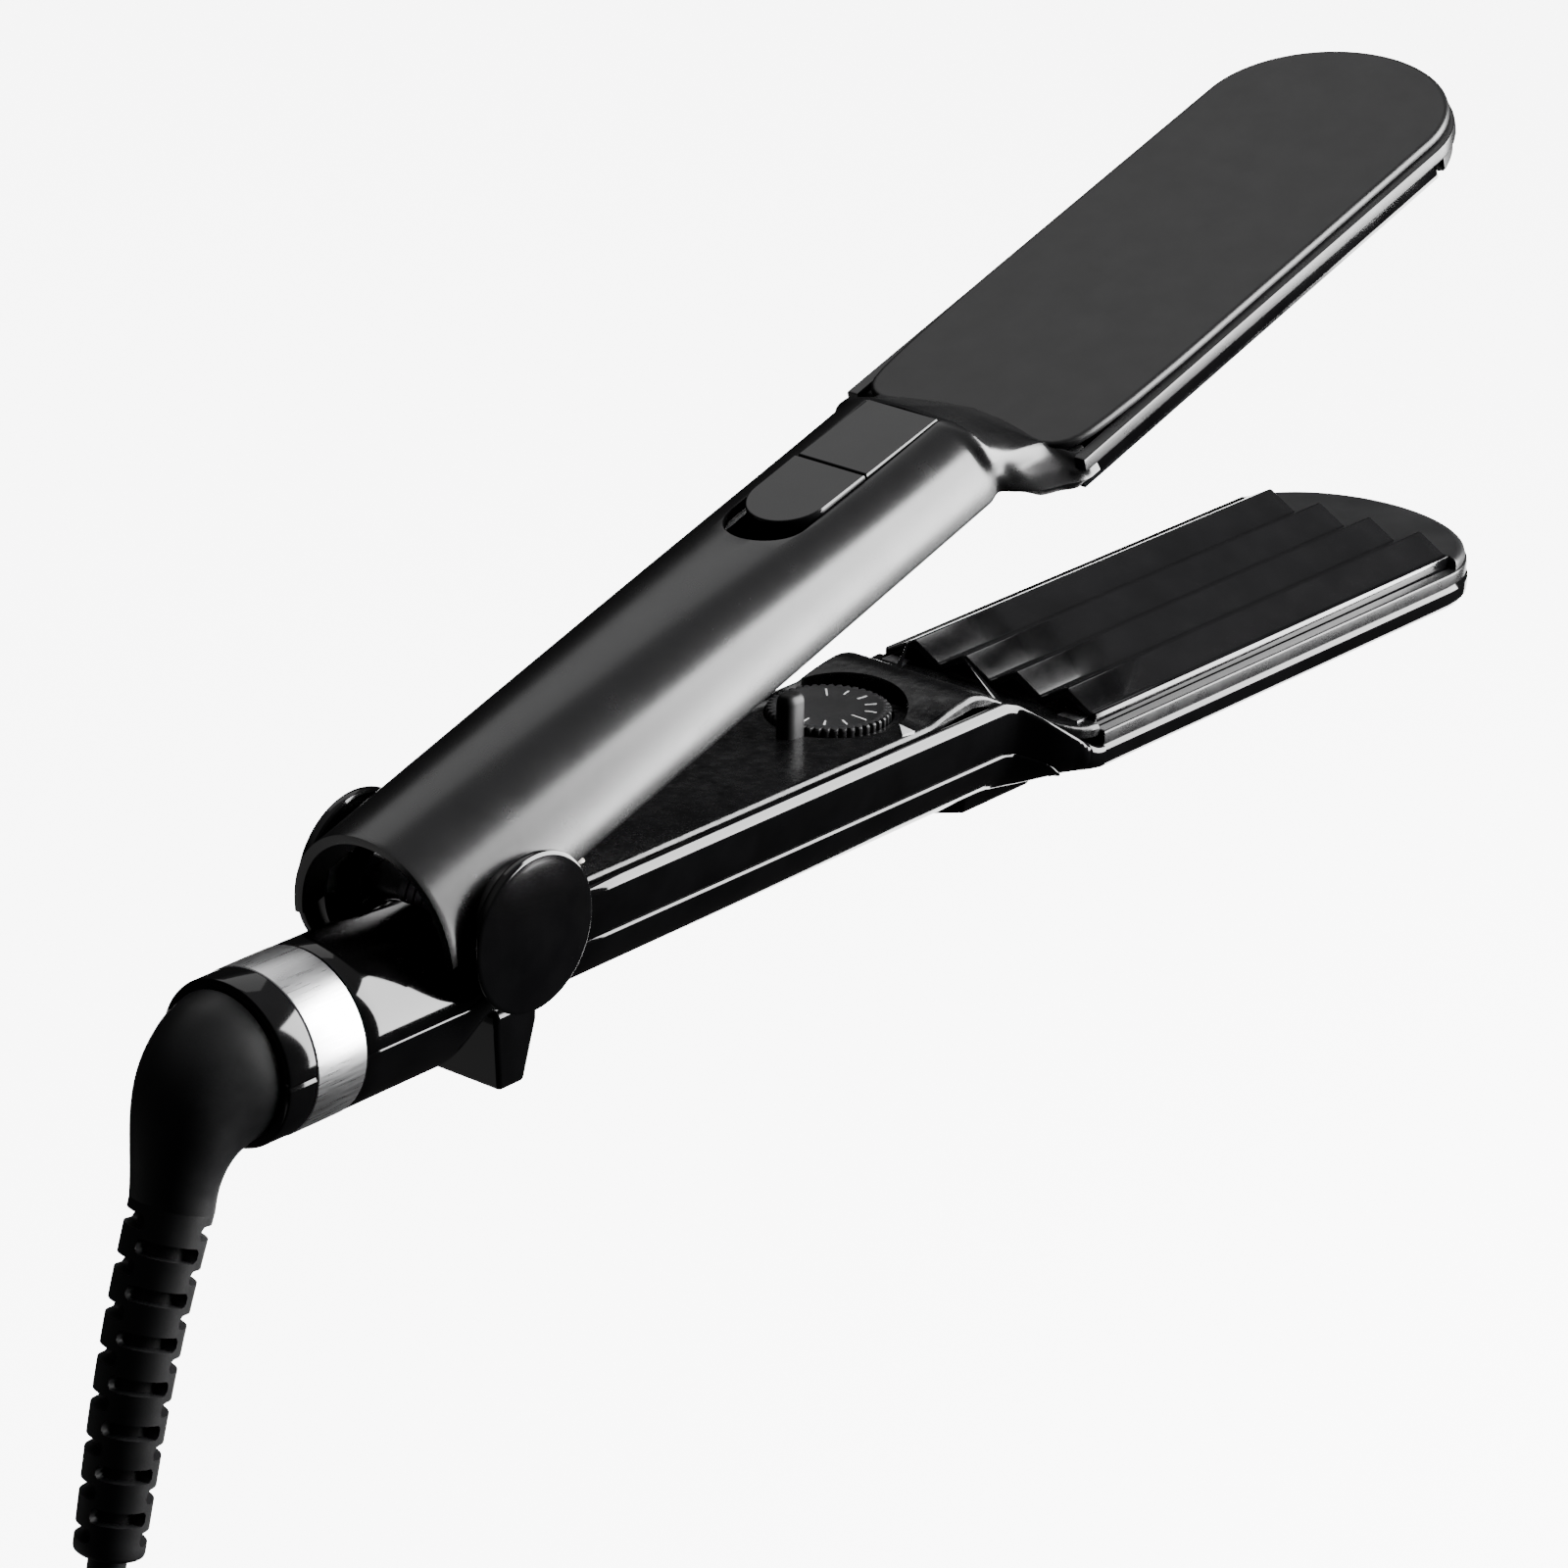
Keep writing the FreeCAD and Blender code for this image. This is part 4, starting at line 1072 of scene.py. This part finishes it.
def plate(name, low, high, wall, where, body, replaced):
    """Ridged plate: a bent sheet with a flange along each side."""
    top, bottom = zigzag(high), list(reversed(zigzag(low)))
    loops = [[(x, y, z) for y, z in top + bottom] for x in (PLATE_X[0], PLATE_X[0] + 0.25)
             + tuple(stations(163.0, 273.0, 10.0)) + (PLATE_X[1] - 0.25, PLATE_X[1])]
    for loop in (loops[0], loops[-1]):
        n = len(top)
        for k, p in enumerate(loop):
            loop[k] = (p[0], p[1], p[2] + (-0.2 if k < n else 0.2))
    piece = finish_mesh(name, rings(loops), where, CERAMIC, body, replaced, 30)
    weigh(piece)
    for side, label in SIDES:
        y0, y1 = sorted((side * (PLATE_HALF - 1.2), side * (PLATE_HALF + 0.02)))
        flange = finish_mesh(name + "_flange_" + label, prism([(PLATE_X[0], y0), (PLATE_X[1], y0),
                                                               (PLATE_X[1], y1), (PLATE_X[0], y1)], *wall),
                                                               where, CERAMIC, body, (), 30)
        bevel(flange, 0.3, 2, 40, 30)
    return piece


plate("lower_plate", -1.9, 0.0, (-8.2, -3.55), closed, "lower_arm", ("lower_crimp_plate",))
plate("upper_plate", 0.6, 2.5, (-2.5, 4.2), opened, "upper_arm", ("upper_crimp_plate",))


def rim_ring(name, levels, x0, base, tip, where, body, replaced, material, hole):
    """A head-shaped frame round a plate."""
    loops = []
    for inset, z in levels:
        loops.append([(max(x, x0 + inset), y, z) for x, y in whole_outline(base - inset, tip - inset, x0)])
    piece = finish_mesh(name, rings(loops), where, material, body, replaced, 30)
    z0, z1 = min(z for _, z in levels) - 1, max(z for _, z in levels) + 1
    x1, x2, half = hole
    cut(piece, plain("well", *prism([(x1, -half), (x2, -half), (x2, half), (x1, half)], z0, z1), where), 30)
    weigh(piece)
    return piece


WELL = (153.0, 278.2, PLATE_HALF + 0.35)
rim_ring("lower_rim", [(0.5, -9.3), (0.12, -9.15), (0.0, -8.8), (0.0, -6.95), (0.12, -6.55), (0.5, -6.35)],
         157.7,
         28.95, 298.7, closed, "lower_arm", ("lower_plate_carrier",), RIM, WELL)
rim_ring("upper_rim", [(0.5, 2.6), (0.12, 2.75), (0.0, 3.1), (0.0, 5.0), (0.12, 5.35), (0.5, 5.5)], 156.2,
         29.2, 298.7, opened, "upper_arm", ("upper_plate_carrier",), RIM, WELL)


def nose(name, half, tip, levels, where, body):
    """The smooth end in front of a plate."""
    loops = []
    for inset, z in levels:
        outline = [p for p in whole_outline(half - inset, tip - inset, 278.5, 24) if p[0] >= 278.5]
        y_edge = half - inset
        cut_y = y_edge * math.sqrt(max(0.0, 1 - ((278.5 - ROUND_X) / (tip - inset - ROUND_X)) ** 2))
        outline = [(278.5 + inset * 0.4, cut_y)] + outline + [(278.5 + inset * 0.4, -cut_y)]
        loops.append([(x, y, z) for x, y in resample(outline, 61)])
    piece = finish_mesh(name, rings(loops), where, NOSE, body, (), 30)
    weigh(piece)
    return piece


nose("lower_nose", 28.4, 298.2, [(0.0, -6.4), (0.0, -5.4), (0.18, -4.85), (0.6, -4.45), (1.2, -4.25),
                                 (2.0, -4.2)],
     closed, "lower_arm")
nose("upper_nose", 28.1, 297.6, [(0.0, 2.7), (0.0, -0.6), (0.2, -1.2), (0.7, -1.7), (1.3, -1.93),
                                 (2.2, -2.0)],
     opened, "upper_arm")

# ---------------------------------------------------------------- upper shell
UP_ROWS = [(-19.0, 19.2, 20.0, 2.05), (60.0, 19.3, 18.4, 2.3), (139.0, 19.3, 15.7, 2.8)]
LOWER_COUNT, UPPER_COUNT = 13, 22
NECK_KEYS = [
    (141.5, [(19.4, 4.5), (19.3, 8.0), (19.05, 11.6)],
     [(18.8, 12.3), (17.8, 14.5), (15.0, 16.8), (10.0, 18.2), (0.0, 18.7)]),
    (144.0, [(22.0, 3.8), (20.6, 5.6), (19.6, 8.0), (19.2, 11.0)],
     [(18.9, 11.5), (17.6, 13.1), (14.5, 15.2), (10.0, 16.7), (0.0, 17.4)]),
    (147.0, [(25.4, 3.2), (22.6, 5.0), (20.5, 7.4), (19.4, 10.0)],
     [(19.0, 10.4), (17.2, 11.6), (14.0, 13.4), (9.0, 14.9), (0.0, 15.7)]),
    (151.0, [(27.0, 2.3), (24.1, 4.1), (21.5, 6.4), (19.7, 8.9)],
     [(19.3, 9.2), (17.0, 10.0), (13.0, 11.4), (8.0, 12.5), (0.0, 13.2)]),
    (155.3, [(28.7, 1.2), (25.8, 3.0), (22.8, 5.2), (20.2, 7.5)],
     [(19.8, 7.7), (16.0, 8.3), (12.0, 9.1), (7.0, 9.9), (0.0, 10.4)]),
    (158.0, [(28.9, 0.6), (28.2, 2.6), (27.0, 4.0), (25.6, 5.0)],
     [(25.2, 5.2), (20.0, 5.7), (13.0, 7.0), (7.0, 8.0), (0.0, 8.5)]),
    (160.4, [(28.9, 0.6), (28.2, 2.6), (27.0, 4.0), (25.6, 5.0)],
     [(25.2, 5.2), (20.0, 5.3), (13.0, 5.8), (7.0, 6.6), (0.0, 7.1)]),
]


def arch_half(x):
    """Half section of the upper handle, from the lower edge to the middle of the top."""
    half, rise, power = table(UP_ROWS, x)
    points = [(half, 3.6)]
    for i in range(121):
        t = math.pi / 2 * i / 120
        points.append((half * math.cos(t) ** (2 / power), 3.7 + rise * math.sin(t) ** (2 / power)))
    k = next(i for i, p in enumerate(points) if p[1] > 12.3)
    return resample(points[:k + 1], LOWER_COUNT) + resample(points[k + 1:], UPPER_COUNT)


def neck_tables():
    keys = [(x, arch_half(x)) for x in (130.0, 136.0, 139.0)]
    keys += [(x, resample(a, LOWER_COUNT) + resample(b, UPPER_COUNT)) for x, a, b in NECK_KEYS]
    return [[(x, points[i][0], points[i][1]) for x, points in keys] for i in range(LOWER_COUNT + UPPER_COUNT)]


NECK = neck_tables()


def up_section(x):
    right = arch_half(x) if x < 139 else [table(NECK[i], x) for i in range(len(NECK))]
    return right + [(-y, z) for y, z in reversed(right[:-1])]


def upper_shell():
    loops = []
    for x in stations(-18.2, 8.0, 1.6) + stations(12.0, 128.0, 6.0) + stations(131.0, 160.4, 0.7):
        loop = []
        for y, z in up_section(x):
            rake = -18.2 + (z - 3.6) * 0.18
            along = x if x > -8 else lerp(rake, -8.0, (x + 18.2) / 10.2)
            loop.append((along, y, z))
        loops.append(loop)
    piece = finish_mesh("upper_casing", rings(loops, False, False), opened, SATIN, "upper_arm",
                        ("upper_shell",), 40)
    thicken(piece, 1.9)
    outline = round_end(99.8, SWITCH_END_R) + [(140.7, -SWITCH_END_R), (140.7, SWITCH_END_R)]
    cut(piece, plain("switch_slot", *prism(outline, 10.0, 30.0), opened), 32)
    bevel(piece, 0.32, 3, 50, 32)
    return piece


upper_shell()


def offset(points, by):
    """An outline moved inwards along its own normals."""
    out, n = [], len(points)
    for i, p in enumerate(points):
        before, after = Vector(points[i - 1]), Vector(points[(i + 1) % n])
        along = (after - before).normalized()
        out.append((p[0] - along.y * by, p[1] + along.x * by))
    return out


def panel():
    """Flat cover of the upper head, with round rear corners."""
    rear = [(154.9, 10.0), (155.0, 18.5), (155.25, 20.0), (155.8, 21.6), (156.8, 23.2), (158.2, 24.5),
            (160.4, 25.5),
            (163.6, 26.1), (168.0, 26.5), (176.0, 27.0), (190.0, 27.35)]
    left = rear + [p for p in head_outline(27.4, 299.8, 200.0, 26)]
    outline = left[:-1] + [left[-1]] + [(x, -y) for x, y in reversed(left[:-1])]
    outline = list(reversed(outline))
    loops = []
    for inset, z in ((1.2, 5.55), (0.25, 5.62), (0.0, 5.9), (0.0, 6.5), (0.1, 6.9), (0.34, 7.18),
                     (0.7, 7.34), (1.2, 7.4)):
        loops.append([(x, y, z) for x, y in offset(outline, inset)])
    piece = finish_mesh("head_panel", rings(loops), opened, PANEL, "upper_arm", (), 30)
    weigh(piece)


panel()


def key_cap(name, x0, x1, top0, top1, round_rear, body, replaced):
    """Cap in the switch slot: crowned top, rounded edges and, on the slider, a round rear end."""
    half = 8.45
    if round_rear:
        outline = round_end(x0 + half, half)
    else:
        outline = [(x0, half), (x0, -half)]
    outline += [(x1, -half), (x1, half)]
    loops = []
    for inset, depth in ((0.0, 8.0), (0.0, 0.6), (0.08, 0.3), (0.24, 0.1), (0.5, 0.0)):
        loop = []
        for x, y in offset(outline, inset):
            top = lerp(top0, top1, (x - x0) / (x1 - x0))
            loop.append((x, y, top - depth if depth < 5 else 13.5))
        loops.append(loop)
    piece = finish_mesh(name, rings(loops), opened, KEY, body, replaced, 30)
    weigh(piece)
    return piece


key_cap("window", 118.8, 140.4, 19.9, 19.1, False, "upper_arm", ("switch_window",))
key_cap("slider", 97.6, 118.2, 20.9, 20.2, True, "power_slider", ("power_slider",))


def cheeks():
    """Rings of the upper arm round the hinge ears."""
    for side, label in SIDES:
        cheek = [(16.85, 5.05), (16.85, 12.7), (17.1, 13.0), (19.0, 13.0), (19.25, 12.7), (19.25, 5.05),
                 (16.85, 5.05)]
        finish_mesh("cheek_" + label, turned(cheek, (0, 0, 0), (0, side, 0), 96, cap=False), opened, SATIN,
                    "upper_arm", (), 30)


cheeks()


# ---------------------------------------------------------------- stage, light and camera
def polar(azimuth, elevation, distance):
    """A point round the middle of the object; the azimuth is the plain one, from +X towards +Y."""
    a, e = math.radians(azimuth), math.radians(elevation)
    return Vector((0.03 + distance * math.cos(a) * math.cos(e), distance * math.sin(a) * math.cos(e),
                   distance * math.sin(e)))


def softbox(name, place, size, power, colour=(1, 1, 1), target=(0.03, 0, 0)):
    light = bpy.data.lights.new(name, "AREA")
    light.shape = "RECTANGLE"
    light.size, light.size_y = size
    light.energy = power
    light.color = colour
    lamp = bpy.data.objects.new(name, light)
    lamp.location = place
    lamp.rotation_euler = (Vector(target) - Vector(place)).to_track_quat("-Z", "Y").to_euler()
    lamp.visible_camera = False
    bpy.context.scene.collection.objects.link(lamp)
    return lamp


def floor():
    """Pale floor that glows a little, as a lit table does, and is left out of the gloss of the plastic."""
    mesh = bpy.data.meshes.new("floor")
    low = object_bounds()[0][2] - 0.004
    mesh.from_pydata([(-9, -9, low), (9, -9, low), (9, 9, low), (-9, 9, low)], [], [(0, 1, 2, 3)])
    made = bpy.data.objects.new("floor", mesh)
    mat, tree, shader = nodes_of("pale_floor")
    tree.links.new(tint(tree, noise(tree, 2, 2), (0.93, 0.93, 0.935), (0.95, 0.95, 0.95)),
                   shader.inputs["Base Color"])
    shader.inputs["Roughness"].default_value = 0.9
    shader.inputs["Specular IOR Level"].default_value = 0.1
    shader.inputs["Emission Color"].default_value = (1, 1, 1, 1)
    shader.inputs["Emission Strength"].default_value = FLOOR_GLOW
    mesh.materials.append(mat)
    bpy.context.scene.collection.objects.link(made)
    made.visible_glossy = False
    made.visible_diffuse = False
    made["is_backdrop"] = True


def world():
    """Pale studio for the eye; dark below the horizon and dim above it for reflections."""
    made = bpy.data.worlds.new("studio")
    bpy.context.scene.world = made
    made.use_nodes = True
    tree = made.node_tree
    background = tree.nodes["Background"]
    coord = tree.nodes.new("ShaderNodeTexCoord")
    split = tree.nodes.new("ShaderNodeSeparateXYZ")
    tree.links.new(coord.outputs["Generated"], split.inputs["Vector"])
    level = ramp(tree, split.outputs["Z"], 0.0, 1.0, -1.0, 1.0)
    sky = tree.nodes.new("ShaderNodeValToRGB")
    stops = ((0.0, 0.02), (0.48, 0.012), (0.7, 0.03), (0.84, 0.2), (1.0, 0.32))
    while len(sky.color_ramp.elements) < len(stops):
        sky.color_ramp.elements.new(0.5)
    for element, (position, value) in zip(sky.color_ramp.elements, stops):
        element.position = position
        element.color = (value, value, value * 1.02, 1)
    tree.links.new(level, sky.inputs["Fac"])
    rays = tree.nodes.new("ShaderNodeLightPath")
    mix = tree.nodes.new("ShaderNodeMix")
    mix.data_type = "RGBA"
    tree.links.new(rays.outputs["Is Camera Ray"], mix.inputs["Factor"])
    colour_in = [socket for socket in mix.inputs if socket.type == "RGBA"]
    colour_out = [socket for socket in mix.outputs if socket.type == "RGBA"]
    colour_in[1].default_value = (FLOOR_GLOW, FLOOR_GLOW, FLOOR_GLOW, 1)
    tree.links.new(sky.outputs["Color"], colour_in[0])
    tree.links.new(colour_out[0], background.inputs["Color"])


def camera():
    data = bpy.data.cameras.new("camera")
    data.lens = 151.7
    data.sensor_width = 36.0
    made = bpy.data.objects.new("camera", data)
    forward = Vector((0.71343, 0.58760, -0.38177)).normalized()
    right = Vector((0.64191, -0.76653, 0.01976)).normalized()
    up = right.cross(forward).normalized()
    right = forward.cross(up).normalized()
    matrix = Matrix((right, up, -forward)).transposed().to_4x4()
    matrix.translation = Vector((-0.8701, -0.7374, 0.4725))
    made.matrix_world = matrix
    data.clip_end = 50
    bpy.context.scene.collection.objects.link(made)
    bpy.context.scene.camera = made


FLOOR_GLOW = 7.0
floor()
world()
camera()
softbox("key", polar(-38, 16, 1.1), (0.9, 1.22), 90)
softbox("fill_back", polar(60, 50, 1.7), (1.2, 1.0), 3)
softbox("under", (0.90, 0.55, -0.37), (0.9, 0.8), 12, (1, 1, 1), (0.90, 0.551, 1.0))
softbox("rear_card", (-0.41, 0.43, -0.37), (0.6, 0.6), 0.3, (1, 1, 1), (-0.41, 0.431, 1.0))
